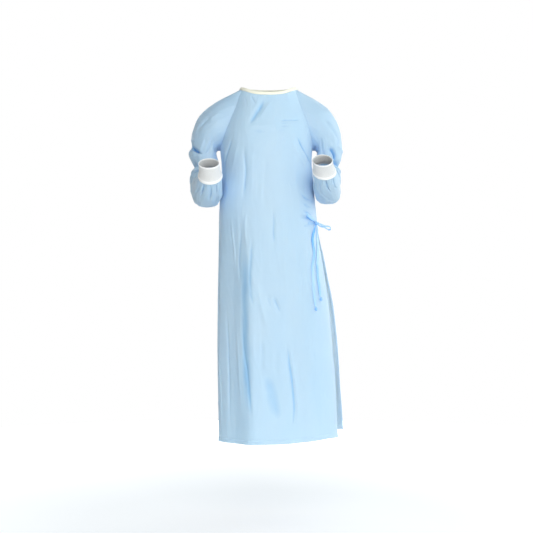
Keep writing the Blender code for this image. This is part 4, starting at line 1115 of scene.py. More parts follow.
def knot_middle():
    """Middle of the bow's knot."""
    return body_point(front_angle(*KNOT), KNOT[1], KNOT_LIFT)


def tied(path, *ends):
    """The path with its named ends, 0 or -1, brought into the face of the knot."""
    middle = knot_middle()
    for end in ends:
        toward = unit(path[1 if end == 0 else -2] - middle)
        reach = 1 / np.linalg.norm(toward / np.array(KNOT_SIZE))
        path[end] = middle + (reach - KNOT_GAP) * toward
    return path


def narrowed(count, start, end, reach):
    """Width of a strip that is squeezed to `start` or `end` where a knot holds it."""
    share = np.linspace(0, 1, count)
    first = smooth(share / reach)
    last = smooth((1 - share) / reach)
    return TIE_WIDTH * (start + (1 - start) * first) * (end + (1 - end) * last)


def strip_surface(path, wide, width, seed):
    """A flat strip of folded cloth along a path: points across it, curled a little at both edges and
    pressed in along the middle, with the curl square to the path and to its width."""
    forward = unit(np.gradient(path, axis=0))
    wide = unit(np.asarray(wide, float))
    wide = unit(wide - forward * (wide * forward).sum(axis=1, keepdims=True))
    square = np.cross(forward, wide)
    across = np.linspace(-1, 1, STRIP_POINTS)
    count = len(path)
    pick = np.random.default_rng(seed)
    waves = np.linspace(0, 1, count)[:, None] * pick.uniform(30, 46) + pick.uniform(0, 6)
    curl = STRIP_CURL * np.abs(across) ** 3 * (0.4 + 0.6 * np.cos(waves))
    curl = curl - STRIP_HOLLOW * np.exp(-((across / 0.25) ** 2))
    offset = 0.5 * np.asarray(width).reshape(-1, 1) * across
    grid = path[:, None] + offset[..., None] * wide[:, None] + curl[..., None] * square[:, None]
    length = np.concatenate([[0], np.cumsum(np.linalg.norm(np.diff(path, axis=0), axis=1))])
    return grid, flat_places(across * TIE_WIDTH / 2, length)


def shaded(kind, grid):
    """A row of the table of painted shade, read along the rows of a grid."""
    places, values = np.array(BOW_PAINTED_SHADE[kind]).T
    along = np.interp(np.linspace(0, 1, len(grid)), places, values)
    return np.broadcast_to(along[:, None], grid.shape[:2])


def tail_path(route, strength):
    """The middle line of a tail of the bow down the front, over the creased cloth, and the direction of
    its width."""
    at = along_line(route, STRIP_ROWS + 1)
    angle = front_angle(at[:, 0], at[:, 1])
    share = np.linspace(0, 1, STRIP_ROWS + 1)
    lift = TAIL_LIFT + TAIL_DROP * (1 - smooth(share / TAIL_DROP_REACH))
    relief = base_relief(angle, at[:, 1], strength)
    path = body_point(angle, at[:, 1], lift, relief)
    beside = body_point(angle + 1.0, at[:, 1], lift, relief) - path
    return tied(path, 0), unit(beside) + np.array([TAIL_TURN, 0.0, 0.0])


def knot_surface(middle, sizes, wraps, tilt):
    """A small knot: a ball drawn out to its half sizes, with the edges of the strip wound round it as
    grooves across and a twist along it. Rows run from pole to pole."""
    down = np.linspace(0, math.pi, KNOT_ROWS + 1)[:, None]
    turn = np.linspace(0, 2 * math.pi, KNOT_COLUMNS + 1)[None, :-1]
    groove = np.abs(np.cos(wraps * (down + tilt * np.cos(turn)))) ** 0.6
    swell_round = 0.93 + 0.11 * groove + 0.045 * np.cos(3 * turn + 2 * down)
    ring = np.sin(down) * swell_round
    rise = np.cos(down) * swell_round + 0 * turn
    ball = np.stack([ring * np.cos(turn), ring * np.sin(turn), rise], axis=-1)
    ball[0], ball[-1] = ball[0].mean(axis=0), ball[-1].mean(axis=0)
    grid = np.asarray(middle) + ball * np.array(sizes)
    return grid, flat_places(np.linspace(0, KNOT_FLAT[0], KNOT_COLUMNS + 1), down[:, 0] * KNOT_FLAT[1])


def stitch_row(name, path, normal, length, gap, material):
    """A row of stitches along a path: every stitch is the same small spindle of six sides, raised at its
    middle, turned to the path and to the cloth's normal."""
    steps = np.linalg.norm(np.diff(path, axis=0), axis=1)
    done = np.concatenate([[0], np.cumsum(steps)])
    starts = np.arange(gap, done[-1] - length, length + gap)
    thick = THREAD_RADIUS * np.array(STITCH_THICK)
    arch = THREAD_RADIUS * np.array(STITCH_ARCH)
    turn = np.linspace(0, 2 * math.pi, STITCH_SIDES + 1)[:-1]

    def read(values, at):
        return np.stack([np.interp(at, done, values[:, axis]) for axis in range(3)], axis=-1)

    at = starts[:, None] + np.array(STITCH_PLACES)[None] * length
    centre, up = read(path, at), unit(read(normal, at))
    forward = unit(centre[:, -1:] - centre[:, :1]) + 0 * centre
    side = unit(np.cross(forward, up))
    centre = centre + arch[None, :, None] * up
    sideways = np.cos(turn)[:, None] * side[:, :, None]
    upwards = np.sin(turn)[:, None] * up[:, :, None]
    ring = centre[:, :, None] + thick[None, :, None, None] * (sideways + upwards)
    index = np.arange(ring.size // 3).reshape(ring.shape[:3])
    after = np.roll(index, -1, axis=2)
    quads = np.stack([index[:, :-1], after[:, :-1], after[:, 1:], index[:, 1:]], axis=-1).reshape(-1, 4)
    caps = np.concatenate([index[:, 0, ::-1], index[:, -1]])
    mesh = bpy.data.meshes.new(name)
    mesh.from_pydata(ring.reshape(-1, 3).tolist(), [], quads.tolist() + caps.tolist())
    return new_piece(name, mesh, material)


def new_piece(name, mesh, material):
    """An object at the origin that holds the mesh, shaded smooth."""
    mesh.materials.append(material)
    mesh.update()
    mesh.shade_smooth()
    piece = bpy.data.objects.new(name, mesh)
    bpy.context.scene.collection.objects.link(piece)
    return piece


def outward(mesh):
    """Turns the faces of a closed mesh outwards."""
    shape = bmesh.new()
    shape.from_mesh(mesh)
    bmesh.ops.remove_doubles(shape, verts=shape.verts, dist=1e-7)
    bmesh.ops.recalc_face_normals(shape, faces=shape.faces)
    shape.to_mesh(mesh)
    shape.free()


def corners_of(grid):
    """The four corners of every cell of a grid, in order round the cell."""
    return np.stack([grid[:-1, :-1], grid[:-1, 1:], grid[1:, 1:], grid[1:, :-1]], axis=2)


def grid_piece(name, grid, flat, material, closed=False, wall=None, sealed=False, painted_shade=None):
    """A piece made of quads over a grid of points, with its flat places as a UV map. A wall is given to
    an open sheet; `sealed` says that the grid is itself the skin of a solid. The last argument is painted
    shade for each point, 0 to 1, a deeper blue where it lies deep in a crease, standing in for light that
    passes through more than one layer."""
    rows, columns = grid.shape[:2]
    index = np.arange(rows * columns).reshape(rows, columns)
    if closed:
        index = np.concatenate([index, index[:, :1]], axis=1)
    quads = corners_of(index).reshape(-1, 4)
    corners = corners_of(flat).reshape(-1, 2)
    mesh = bpy.data.meshes.new(name)
    mesh.from_pydata(grid.reshape(-1, 3).tolist(), [], quads.tolist())
    layer = mesh.uv_layers.new(name="cloth")
    layer.data.foreach_set("uv", corners.astype(np.float32).ravel())
    if painted_shade is not None:
        depths = mesh.attributes.new("painted_fold_shade", "FLOAT", "POINT")
        depths.data.foreach_set("value", painted_shade.astype(np.float32).ravel())
    if sealed:
        outward(mesh)
    piece = new_piece(name, mesh, material)
    if wall:
        shell = piece.modifiers.new("wall", "SOLIDIFY")
        shell.thickness = wall
        shell.offset = 0.0
    return piece


def capped(grid, flat):
    """A closed loop of points carried along a path, with its two ends drawn together so that it is
    sealed; the points of both end loops go to their own middles."""
    first, last = grid[:1].mean(axis=1, keepdims=True), grid[-1:].mean(axis=1, keepdims=True)
    width = grid.shape[1]
    grid = np.concatenate([np.repeat(first, width, axis=1), grid, np.repeat(last, width, axis=1)])
    return grid, np.concatenate([flat[:1], flat, flat[-1:]])


def settle(piece, slot, *nodes):
    """Rides the piece on the gown and hides the part's solids that it stands for; `slot` is not used."""
    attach(piece, "root")
    if nodes:
        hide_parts(*nodes)
    return piece


class Nodes:
    """Short way to build a material: adds nodes, sets their sockets and links them."""

    def __init__(self, name):
        self.material = bpy.data.materials.new(name)
        self.material.use_nodes = True
        self.tree = self.material.node_tree
        self.shader = self.tree.nodes["Principled BSDF"]

    def add(self, kind, **settings):
        node = self.tree.nodes.new(kind)
        for key, value in settings.items():
            setattr(node, key, value)
        return node

    def link(self, source, target):
        self.tree.links.new(source, target)

    def noise(self, vector, scale, detail, stretch=(1.0, 1.0, 1.0)):
        mapping = self.add("ShaderNodeMapping")
        mapping.inputs["Scale"].default_value = stretch
        self.link(vector, mapping.inputs["Vector"])
        node = self.add("ShaderNodeTexNoise")
        node.inputs["Scale"].default_value = scale
        node.inputs["Detail"].default_value = detail
        self.link(mapping.outputs["Vector"], node.inputs["Vector"])
        return node.outputs["Fac"]

    def math(self, operation, first, second=None):
        node = self.add("ShaderNodeMath", operation=operation)
        for socket, value in zip(node.inputs, (first, second)):
            if value is None:
                continue
            if isinstance(value, (int, float)):
                socket.default_value = value
            else:
                self.link(value, socket)
        return node.outputs[0]

    def spread(self, value, low, high, to_low, to_high):
        node = self.add("ShaderNodeMapRange")
        for key, number in (("From Min", low), ("From Max", high), ("To Min", to_low), ("To Max", to_high)):
            node.inputs[key].default_value = number
        self.link(value, node.inputs["Value"])
        return node.outputs["Result"]

    def mix(self, factor, first, second):
        node = self.add("ShaderNodeMix", data_type="RGBA")
        self.link(factor, node.inputs["Factor"])
        for socket, value in ((node.inputs[6], first), (node.inputs[7], second)):
            if hasattr(value, "is_linked"):
                self.link(value, socket)
            else:
                socket.default_value = value
        return node.outputs[2]

    def bump(self, height, strength, distance, before=None):
        node = self.add("ShaderNodeBump")
        node.inputs["Strength"].default_value = strength
        node.inputs["Distance"].default_value = distance
        self.link(height, node.inputs["Height"])
        if before is not None:
            self.link(before, node.inputs["Normal"])
        return node.outputs["Normal"]

    def places(self):
        uv = self.add("ShaderNodeUVMap", uv_map="cloth")
        spot = self.add("ShaderNodeTexCoord")
        return uv.outputs["UV"], spot.outputs["Object"]


def tinted(colour, factors):
    """A colour with its red, green and blue each multiplied."""
    return (*[min(part * factor, 1.0) for part, factor in zip(colour[:3], factors)], 1.0)


def nonwoven(name, colour, seed):
    """Light nonwoven cloth: blended fibres, a fine grid of bonding points, soft mottling, faint sheen,
    light that goes through it, and painted shade: a deeper blue laid into the colour where the point's own
    attribute says that it lies deep in creases and folds."""
    made = Nodes(name)
    uv, spot = made.places()
    mottle = made.noise(spot, 9.0 + seed, 3.0, (1.0, 1.0, 0.45))
    fibres = made.noise(uv, 1.0, 3.0, (900.0, 420.0, 1.0))
    flecks = made.noise(uv, 1.0, 2.0, (260.0, 2200.0, 1.0))
    painted_fold_shade = made.add("ShaderNodeAttribute", attribute_name="painted_fold_shade").outputs["Fac"]
    light, dark = tinted(colour, (1.03, 1.015, 1.0)), tinted(colour, (0.955, 0.975, 0.99))
    shade = made.mix(made.spread(mottle, 0.35, 0.65, 0.0, 1.0), dark, light)
    for pattern, spread, factors in (
        (fibres, (0.3, 0.7, 0.0, 0.35), (0.90, 0.94, 0.97)),
        (flecks, (0.58, 0.80, 0.0, 0.30), (1.12, 1.06, 1.02)),
        # painted shade: a deeper blue where the cloth lies deep in creases and folds
        (painted_fold_shade, (0.15, 0.85, 0.0, 0.8), (0.22, 0.55, 0.86)),
    ):
        shade = made.mix(made.spread(pattern, *spread), shade, tinted(colour, factors))
    made.link(shade, made.shader.inputs["Base Color"])
    points = made.add("ShaderNodeTexVoronoi", feature="F1")
    points.inputs["Scale"].default_value = 640.0
    points.inputs["Randomness"].default_value = 0.12
    made.link(uv, points.inputs["Vector"])
    dimple = made.spread(points.outputs["Distance"], 0.12, 0.42, 0.0, 1.0)
    crumple = made.noise(spot, 42.0, 3.0, (1.0, 1.0, 0.6))
    normal = made.bump(crumple, 0.5, 0.0016)
    normal = made.bump(fibres, 0.35, 0.00012, normal)
    made.link(made.bump(dimple, 0.5, 0.00009, normal), made.shader.inputs["Normal"])
    made.link(made.spread(fibres, 0.3, 0.7, 0.50, 0.66), made.shader.inputs["Roughness"])
    made.shader.inputs["Specular IOR Level"].default_value = 0.5
    made.shader.inputs["Sheen Weight"].default_value = 0.12
    made.shader.inputs["Sheen Roughness"].default_value = 0.45
    made.shader.inputs["Subsurface Weight"].default_value = 0.7
    made.shader.inputs["Subsurface Radius"].default_value = (0.8, 0.9, 1.0)
    made.shader.inputs["Subsurface Scale"].default_value = 0.006
    return made.material


def rib_knit(name, colour, rib_pitch, course, bands=False):
    """Rib knit: columns of stitches whose legs lean to and fro, in the piece's own flat places; `bands`
    gives the closer, whiter knit of a cuff's two edges."""
    made = Nodes(name)
    uv, spot = made.places()
    split = made.add("ShaderNodeSeparateXYZ")
    made.link(uv, split.inputs["Vector"])
    across = made.math("MULTIPLY", split.outputs["X"], 2 * math.pi / rib_pitch)
    along = made.math("MULTIPLY", split.outputs["Y"], 2 * math.pi / course)
    lean = made.math("MULTIPLY", made.math("ABSOLUTE", made.math("SINE", across)), 2.4)
    stitch = made.math("SINE", made.math("ADD", along, lean))
    fuzz = made.noise(spot, 1600.0, 2.0)
    cloud = made.noise(spot, 60.0, 2.0)
    shade = made.mix(made.spread(stitch, -1.0, 1.0, 0.0, 1.0), tinted(colour, (0.90, 0.90, 0.90)), colour)
    cloudy = made.mix(made.spread(cloud, 0.35, 0.65, 0.0, 0.5), shade, tinted(colour, (0.95, 0.95, 0.94)))
    if bands:
        low = made.spread(split.outputs["Y"], 0.0058, 0.0066, 1.0, 0.0)
        high = made.spread(split.outputs["Y"], CUFF_LENGTH - 0.0062, CUFF_LENGTH - 0.0054, 0.0, 1.0)
        cloudy = made.mix(made.math("ADD", low, high), cloudy, tinted(colour, (1.18, 1.18, 1.19)))
    made.link(cloudy, made.shader.inputs["Base Color"])
    normal = made.bump(made.spread(stitch, -1.0, 1.0, 0.0, 1.0), 0.6, 0.00022)
    made.link(made.bump(fuzz, 0.4, 0.00012, normal), made.shader.inputs["Normal"])
    made.link(made.spread(fuzz, 0.3, 0.7, 0.80, 0.95), made.shader.inputs["Roughness"])
    made.shader.inputs["Specular IOR Level"].default_value = 0.2
    made.shader.inputs["Sheen Weight"].default_value = 0.25
    return made.material


def thread(name, colour):
    """Sewing thread: two plies as fine slanting bands."""
    made = Nodes(name)
    _, spot = made.places()
    twist = made.noise(spot, 2600.0, 1.0, (1.0, 1.0, 0.4))
    shade = made.mix(made.spread(twist, 0.35, 0.65, 0.0, 1.0), tinted(colour, (0.86, 0.88, 0.90)), colour)
    made.link(shade, made.shader.inputs["Base Color"])
    made.link(made.bump(twist, 0.4, 0.0001), made.shader.inputs["Normal"])
    made.shader.inputs["Roughness"].default_value = 0.6
    return made.material


def thickness(name, description, default, least):
    """A length setting."""
    return bpy.props.FloatProperty(
        name=name, description=description, default=default, min=least, unit="LENGTH", subtype="DISTANCE"
    )


def colouring(name, description, default):
    """A colour setting."""
    return bpy.props.FloatVectorProperty(
        name=name, description=description, default=default, size=3, min=0.0, max=1.0, subtype="COLOR"
    )


def brightness(name, description, default, unit="NONE"):
    """A setting for a light."""
    return bpy.props.FloatProperty(name=name, description=description, default=default, min=0.0, unit=unit)


class GownClothSettings(bpy.types.PropertyGroup):
    wall: thickness("Cloth thickness", "Thickness of the drawn cloth", 0.0010, 0.0003)
    colour: colouring("Cloth colour", "Light blue of the gown", (0.475, 0.682, 0.960))
    creases: bpy.props.FloatProperty(
        name="Crease strength",
        description="Multiplies the depth of every crease",
        default=1.6,
        min=0.0,
        max=2.0,
        subtype="FACTOR",
    )


class GownKnitSettings(bpy.types.PropertyGroup):
    cuff_colour: colouring("Cuff colour", "White of the rib-knit cuffs", (0.74, 0.74, 0.73))
    binding_colour: colouring("Binding colour", "Cream of the neck binding", (0.96, 0.93, 0.77))
    rib_height: thickness("Rib height", "How far the ribs of the cuffs stand out", 0.00055, 0.0)


class GownTieSettings(bpy.types.PropertyGroup):
    wall: thickness("Tie thickness", "Thickness of the folded strips", 0.0013, 0.0005)
    colour: colouring("Tie colour", "Blue of the ties", (0.42, 0.64, 0.94))


class GownStageSettings(bpy.types.PropertyGroup):
    key: brightness("Key light", "Power of the large soft light in front", 82.0, "POWER")
    fill: brightness("Fill light", "Power of the light from the other side", 7.0, "POWER")
    surround: brightness("Surround", "Brightness of the white surround as it lights the gown", 0.78)


class GOWN_OT_stage(bpy.types.Operator):
    """Sets the camera, the pale floor, the white surround and the soft lights"""

    bl_idname = "gown.stage"
    bl_label = "Set the stage"

    def execute(self, context):
        settings = context.scene.gown_stage
        scene = context.scene
        lens = bpy.data.cameras.new("camera")
        lens.lens = CAMERA_LENS
        lens.sensor_width = 36.0
        lens.clip_start, lens.clip_end = 0.05, 200.0
        camera = bpy.data.objects.new("camera", lens)
        camera.location = CAMERA_PLACE
        camera.rotation_euler = (math.radians(90), 0.0, 0.0)
        scene.collection.objects.link(camera)
        scene.camera = camera
        self.make_floor(scene)
        self.make_surround(scene, settings.surround)
        for name, place, size, power in (
            ("key", (0.30, -3.5, 0.30), 2.3, settings.key),
            ("fill", (-2.2, -2.9, 0.2), 2.2, settings.fill),
            ("back_left", (2.8, 1.6, 0.4), 2.0, BACK_LEFT_POWER),
            ("back_right", (-2.4, 2.4, 0.6), 2.0, BACK_RIGHT_POWER),
        ):
            self.make_light(scene, name, place, size, power)
        scene.view_settings.view_transform = "Standard"
        scene.view_settings.look = "None"
        return {"FINISHED"}

    def make_floor(self, scene):
        """A flat disc of rings of quads, its glow rising outwards so that it meets the white surround."""
        turn = np.linspace(0, 2 * math.pi, FLOOR_POINTS + 1)[None, :-1]
        reach = np.array(FLOOR_RINGS)[:, None]
        grid = np.stack([reach * np.cos(turn), reach * np.sin(turn), FLOOR_Z + 0 * reach * turn], axis=-1)
        index = np.arange(len(FLOOR_RINGS) * FLOOR_POINTS).reshape(-1, FLOOR_POINTS)
        after = np.roll(index, -1, axis=1)
        quads = np.stack([index[:-1], index[1:], after[1:], after[:-1]], axis=-1).reshape(-1, 4)
        mesh = bpy.data.meshes.new("floor")
        mesh.from_pydata(grid.reshape(-1, 3).tolist(), [], quads.tolist() + [index[0].tolist()])
        made = Nodes("floor_paper")
        _, spot = made.places()
        grain = made.noise(spot, 400.0, 2.0)
        made.link(made.spread(grain, 0.3, 0.7, 0.85, 0.95), made.shader.inputs["Roughness"])
        made.shader.inputs["Base Color"].default_value = (0.72, 0.72, 0.72, 1.0)
        made.shader.inputs["Specular IOR Level"].default_value = 0.0
        made.shader.inputs["Emission Color"].default_value = (1.0, 1.0, 1.0, 1.0)
        away = made.add("ShaderNodeVectorMath", operation="LENGTH")
        made.link(spot, away.inputs[0])
        glow = made.spread(away.outputs["Value"], *FLOOR_GLOW)
        seen = made.add("ShaderNodeLightPath").outputs["Is Camera Ray"]
        eye = made.spread(seen, 0.0, 1.0, FLOOR_LIGHT, 1.0)
        made.link(made.math("MULTIPLY", glow, eye), made.shader.inputs["Emission Strength"])
        floor = new_piece("floor", mesh, made.material)

    def make_surround(self, scene, strength):
        """White all round: full white to the eye, softer and bluish as a light, and brighter on the
        wearer's left."""
        world = bpy.data.worlds.new("surround")
        world.use_nodes = True
        scene.world = world
        tree = world.node_tree
        background = tree.nodes["Background"]
        background.inputs["Color"].default_value = (1.0, 1.0, 1.0, 1.0)
        path = tree.nodes.new("ShaderNodeLightPath")
        mix = tree.nodes.new("ShaderNodeMix")
        mix.data_type = "RGBA"
        towards = tree.nodes.new("ShaderNodeTexCoord")
        split = tree.nodes.new("ShaderNodeSeparateXYZ")
        tree.links.new(towards.outputs["Generated"], split.inputs["Vector"])
        sides = tree.nodes.new("ShaderNodeMapRange")
        for key, number in (("From Min", -1.0), ("To Min", SURROUND_SIDES[0]), ("To Max", SURROUND_SIDES[1])):
            sides.inputs[key].default_value = number
        tree.links.new(split.outputs["X"], sides.inputs["Value"])
        scaled = tree.nodes.new("ShaderNodeVectorMath")
        scaled.operation = "SCALE"
        scaled.inputs[0].default_value = [strength * share for share in SURROUND_TINT]
        tree.links.new(sides.outputs["Result"], scaled.inputs["Scale"])
        tree.links.new(scaled.outputs["Vector"], mix.inputs[6])
        mix.inputs[7].default_value = (1.0, 1.0, 1.0, 1.0)
        tree.links.new(path.outputs["Is Camera Ray"], mix.inputs["Factor"])
        tree.links.new(mix.outputs[2], background.inputs["Color"])

    def make_light(self, scene, name, place, size, power):
        """A square soft light that faces the middle of the gown."""
        lamp = bpy.data.lights.new(name, "AREA")
        lamp.size = size
        lamp.energy = power
        lamp.color = LAMP_TINT
        light = bpy.data.objects.new(name, lamp)
        light.location = place
        toward = Vector(LAMP_TARGET) - Vector(place)
        light.rotation_euler = toward.to_track_quat("-Z", "Y").to_euler()
        scene.collection.objects.link(light)


class GOWN_OT_ties(bpy.types.Operator):
    """Makes the bow at the side: two straps, two loops, the knot and two tails with knotted ends"""

    bl_idname = "gown.ties"
    bl_label = "Tie the bow"

    def execute(self, context):
        settings = context.scene.gown_ties
        strength = context.scene.gown_cloth.creases
        cloth = nonwoven("tie_cloth", (*settings.colour, 1.0), 3.0)
        grid, flat = knot_surface(knot_middle(), KNOT_SIZE, 3.0, 0.5)
        # painted shade on every piece of the bow, read from the table of painted shade
        knot = grid_piece("bow_knot", grid, flat, cloth, closed=True, sealed=True, painted_shade=shaded("knot", grid))
        settle(knot, "tie_cloth", "tie_knot")
        for name, route in (("front", TAIL_FRONT), ("side", TAIL_SIDE)):
            self.make_tail(name, route, cloth, settings.wall, strength)
        for name, make in (("bow_loop_front", self.front_loop), ("bow_loop_side", self.side_loop)):
            grid, flat = make()
            loop = grid_piece(name, grid, flat, cloth, wall=settings.wall, painted_shade=shaded(name[4:], grid))
            settle(loop, "tie_cloth", name.replace("bow", "tie"))
        for name, values, seed in (("front", STRAP_FRONT, 31), ("back", STRAP_BACK, 32)):
            path, wide, width = self.strap(values, strength)
            grid, flat = strip_surface(path, wide, width, seed)
            painted_shade = shaded("strap", grid)
            band = grid_piece("bow_strap_" + name, grid, flat, cloth, wall=settings.wall, painted_shade=painted_shade)
            settle(band, "tie_cloth", "tie_strap_" + name)
        return {"FINISHED"}

    def make_tail(self, name, route, cloth, wall, strength):
        """One free tail and the knot at its end."""
        path, wide = tail_path(route, strength)
        width = narrowed(len(path), *TAIL_PINCH, TAIL_REACH)
        grid, flat = strip_surface(path, wide, width, 20 + len(name))
        painted_shade = shaded("tail_" + name, grid)
        tail = grid_piece("bow_tail_" + name, grid, flat, cloth, wall=wall, painted_shade=painted_shade)
        settle(tail, "tie_cloth", "tie_tail_" + name)
        x, z = route[-1]
        low = z - END_SIZE[2] - SEAM_GAP
        end = body_point(front_angle(x, low), low, END_LIFT)
        grid, flat = knot_surface(end, END_SIZE, 2.0, 0.7)
        painted_shade = shaded("end", grid)
        ball = grid_piece("bow_end_" + name, grid, flat, cloth, closed=True, sealed=True, painted_shade=painted_shade)
        settle(ball, "tie_cloth", "tie_end_" + name)

    def front_loop(self):
        """The loop that lies flat on the front, folded back on itself."""
        points = np.array(LOOP_FRONT)
        at = spline(np.arange(len(points)), points, np.linspace(0, len(points) - 1, FRONT_LOOP_POINTS))
        path = body_point(front_angle(at[:, 0], at[:, 1]), at[:, 1], at[:, 2])
        wide = np.tile(LOOP_FRONT_ACROSS, (len(path), 1))
        width = narrowed(len(path), LOOP_PINCH, LOOP_PINCH, LOOP_FRONT_REACH)
        return strip_surface(tied(path, 0, -1), wide, width, 41)

    def side_loop(self):
        """The loop that stands out at the side, seen edge on from the front."""
        points = np.array(LOOP_SIDE)
        path = spline(np.arange(len(points)), points, np.linspace(0, len(points) - 1, SIDE_LOOP_POINTS))
        wide = spline([0.0, 0.5, 1.0], LOOP_SIDE_ACROSS, np.linspace(0.0, 1.0, len(path)))
        width = narrowed(len(path), LOOP_PINCH, LOOP_PINCH, LOOP_SIDE_REACH)
        return strip_surface(tied(path, 0, -1), wide, width, 42)

    def strap(self, values, strength):
        """A strap sewn to a panel, lying round the side to the knot."""
        height, start, end, start_lift, end_lift = values
        share = np.linspace(0, 1, STRAP_POINTS)
        angle = start + (end - start) * share
        fall = smooth((share - STRAP_FALL[0]) / (STRAP_FALL[1] - STRAP_FALL[0]))
        relief = np.where(angle < SIDE_ANGLE, base_relief(angle, 0 * angle + height, strength), 0.0)
        path = body_point(angle, height, start_lift + (end_lift - start_lift) * fall, relief)
        wide = np.tile([0.0, 0.0, 1.0], (len(path), 1))
        return tied(path, -1), wide, narrowed(len(path), 1.0, LOOP_PINCH, STRAP_REACH)


class GOWN_OT_panels(bpy.types.Operator):
    """Makes the front, the wrap and the layer under it, hanging with their creases and turned hem"""

    bl_idname = "gown.panels"
    bl_label = "Hang the panels"

    def execute(self, context):
        settings = context.scene.gown_cloth
        cloth = nonwoven("gown_cloth", (*settings.colour, 1.0), 0.0)
        # painted light: the wrap's inner face gets a much paler copy of the cloth, standing in for light that
        # comes through the thin cloth onto it
        painted_light_inside = nonwoven("wrap_inside_painted_light", tinted(settings.colour, (1.60, 1.38, 1.04)), 0.0)
        for name, surface, node, flat, area in (
            ("gown_front", front_surface, "front_panel", (0.66, 1.17), 0.66),
            ("gown_wrap", over_surface, "back_panel_over", (0.66, 1.19), 0.66),
            ("gown_under_layer", under_surface, "back_panel_under", (0.44, 1.19), 0.40),
        ):
            grid, places, relief = surface(settings.creases)
            # painted shade: the colour deepens where the relief sinks into creases
            painted_shade = np.clip(-relief / BODY_PAINTED_SHADE_DEPTH, 0.0, BODY_PAINTED_SHADE_MOST)
            piece = grid_piece(name, grid, places, cloth, wall=settings.wall, painted_shade=painted_shade)
            settle(piece, "gown_cloth", node)
            if surface is over_surface:
                # the paler copy, painted light, goes on the inner face of the wrap's wall
                piece.data.materials.append(painted_light_inside)
                piece.modifiers["wall"].material_offset = 1
        return {"FINISHED"}


class GOWN_OT_sleeves(bpy.types.Operator):
    """Makes the raglan sleeves, raised forward, with the folds at the elbow and the gathers at the cuff"""

    bl_idname = "gown.sleeves"
    bl_label = "Set in the sleeves"

    def execute(self, context):
        settings = context.scene.gown_cloth
        cloth = nonwoven("sleeve_cloth", tinted(settings.colour, (0.93, 0.93, 0.92)), 1.5)
        for name, side, rows, folds, creases, seed in (
            ("left", 1, SLEEVE_LEFT, SLEEVE_FOLDS_LEFT, SLEEVE_CREASES_LEFT, 71),
            ("right", -1, SLEEVE_RIGHT, SLEEVE_FOLDS_RIGHT, SLEEVE_CREASES_RIGHT, 83),
        ):
            grid, flat, relief = sleeve_surface(side, rows, folds, creases, seed, settings.creases)
            # painted shade: the colour deepens where the relief sinks into creases and elbow folds
            painted_shade = np.clip(-relief / SLEEVE_PAINTED_SHADE_DEPTH, 0.0, 1.0)
            name = "sleeve_" + name
            piece = grid_piece("gown_" + name, grid, flat, cloth, closed=True, wall=settings.wall, painted_shade=painted_shade)
            settle(piece, "gown_cloth", name)
        return {"FINISHED"}


class GOWN_OT_cuffs(bpy.types.Operator):
    """Knits the two ribbed cuffs"""

    bl_idname = "gown.cuffs"
    bl_label = "Knit the cuffs"

    def execute(self, context):
        settings = context.scene.gown_knit
        knit = rib_knit("cuff_knit", (*settings.cuff_colour, 1.0), 0.0030, 0.0017, bands=True)
        for name, side, rows, rim in (
            ("left", 1, SLEEVE_LEFT, CUFF_RIM_LEFT),
            ("right", -1, SLEEVE_RIGHT, CUFF_RIM_RIGHT),
        ):
            grid, flat = cuff_surface(side, rows, rim, settings.rib_height)
            piece = grid_piece("gown_cuff_" + name, grid, flat, knit, closed=True, wall=CUFF_WALL)
            settle(piece, "cuff_knit", "cuff_" + name)
        return {"FINISHED"}


class GOWN_OT_binding(bpy.types.Operator):
    """Makes the folded knit binding round the neck"""

    bl_idname = "gown.binding"
    bl_label = "Bind the neck"

    def execute(self, context):
        settings = context.scene.gown_knit
        knit = rib_knit("binding_knit", (*settings.binding_colour, 1.0), BINDING_RIB, 0.0014)
        grid, flat = capped(*binding_surface())
        piece = grid_piece("gown_neck_binding", grid, flat, knit, closed=True, sealed=True)
        settle(piece, "neck_binding_knit", "neck_binding")
        return {"FINISHED"}


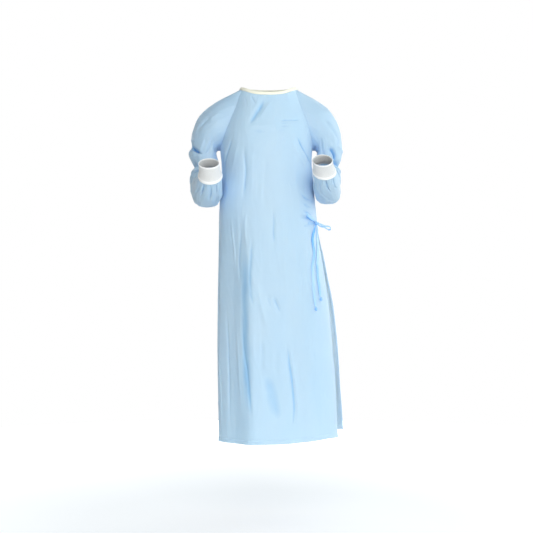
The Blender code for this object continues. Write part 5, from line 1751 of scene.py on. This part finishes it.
class GOWN_OT_sewing(bpy.types.Operator):
    """Sews the visible rows of stitches: under the binding, along the hem of the front and of the wrap, and
    down the wrap's free edge
    """

    bl_idname = "gown.sewing"
    bl_label = "Sew the seams"

    def execute(self, context):
        strength = context.scene.gown_cloth.creases
        white = thread("white_thread", (0.80, 0.80, 0.74, 1.0))
        blue = thread("blue_thread", tinted(context.scene.gown_cloth.colour, (1.12, 1.06, 1.02)))
        angle, layer = binding_course(BINDING_STITCH_POINTS)
        low = neck_height(angle) + BINDING_STITCH_HEIGHT
        path = body_point(angle, low, layer + BINDING_STITCH_LIFT)
        normal = body_point(angle, low, layer + 0.01) - path
        settle(stitch_row("stitches_binding", path, normal, *BINDING_STITCH, white), "neck_binding_knit")
        wrap = over_surface(strength)[0]
        self.hem_row("stitches_hem_front", front_surface(strength)[0], blue)
        self.hem_row("stitches_hem_wrap", wrap, blue)
        self.edge_row("stitches_wrap_edge", wrap, blue)
        return {"FINISHED"}

    def hem_row(self, name, grid, material):
        """Stitches along the row of the grid that lies a centimetre over the hem."""
        row = HEM_STITCH_ROW
        self.sew(name, grid[row], grid[row + 1] - grid[row - 1], material)

    def edge_row(self, name, grid, material):
        """Stitches down the wrap, two columns in from its free edge."""
        column = EDGE_STITCH_COLUMN
        sewn = grid[YOKE_ROWS // 2:HEM_STITCH_ROW]
        self.sew(name, sewn[:, column], sewn[:, column + 1] - sewn[:, column - 1], material)

    def sew(self, name, path, beside, material):
        """Stitches along a path on the outer face; `beside` points across it on the cloth."""
        normal = unit(np.cross(np.gradient(path, axis=0), beside))
        outwards = path * np.array([1.0, 1.0, 0.0])
        normal *= np.sign((normal * outwards).sum(axis=1, keepdims=True))
        raised = path + STITCH_LIFT * normal
        settle(stitch_row(name, raised, normal, *HEM_STITCH, material), "gown_cloth")


class GOWN_PT_panel(bpy.types.Panel):
    """Lists the steps and the settings of the gown"""

    bl_idname = "GOWN_PT_panel"
    bl_label = "Surgical gown"
    bl_space_type = "VIEW_3D"
    bl_region_type = "UI"
    bl_category = "Gown"

    def draw(self, context):
        layout = self.layout
        for name, _ in GROUPS:
            group = getattr(context.scene, name)
            box = layout.box()
            for key in group.__annotations__:
                box.prop(group, key)
        for step in STEPS:
            layout.operator(step.bl_idname)


STEPS = (
    GOWN_OT_stage,
    GOWN_OT_ties,
    GOWN_OT_panels,
    GOWN_OT_sleeves,
    GOWN_OT_cuffs,
    GOWN_OT_binding,
    GOWN_OT_sewing,
)
GROUPS = (
    ("gown_cloth", GownClothSettings),
    ("gown_knit", GownKnitSettings),
    ("gown_ties", GownTieSettings),
    ("gown_stage", GownStageSettings),
)


def register():
    for name, group in GROUPS:
        bpy.utils.register_class(group)
        setattr(bpy.types.Scene, name, bpy.props.PointerProperty(type=group))
    for step in (*STEPS, GOWN_PT_panel):
        bpy.utils.register_class(step)


def unregister():
    for step in reversed((*STEPS, GOWN_PT_panel)):
        bpy.utils.unregister_class(step)
    for name, group in reversed(GROUPS):
        delattr(bpy.types.Scene, name)
        bpy.utils.unregister_class(group)


def main():
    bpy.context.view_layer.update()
    register()
    bpy.ops.gown.stage()
    bpy.ops.gown.ties()
    bpy.ops.gown.panels()
    bpy.ops.gown.sleeves()
    bpy.ops.gown.cuffs()
    bpy.ops.gown.binding()
    bpy.ops.gown.sewing()
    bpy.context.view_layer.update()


if __name__ == "__main__":
    main()
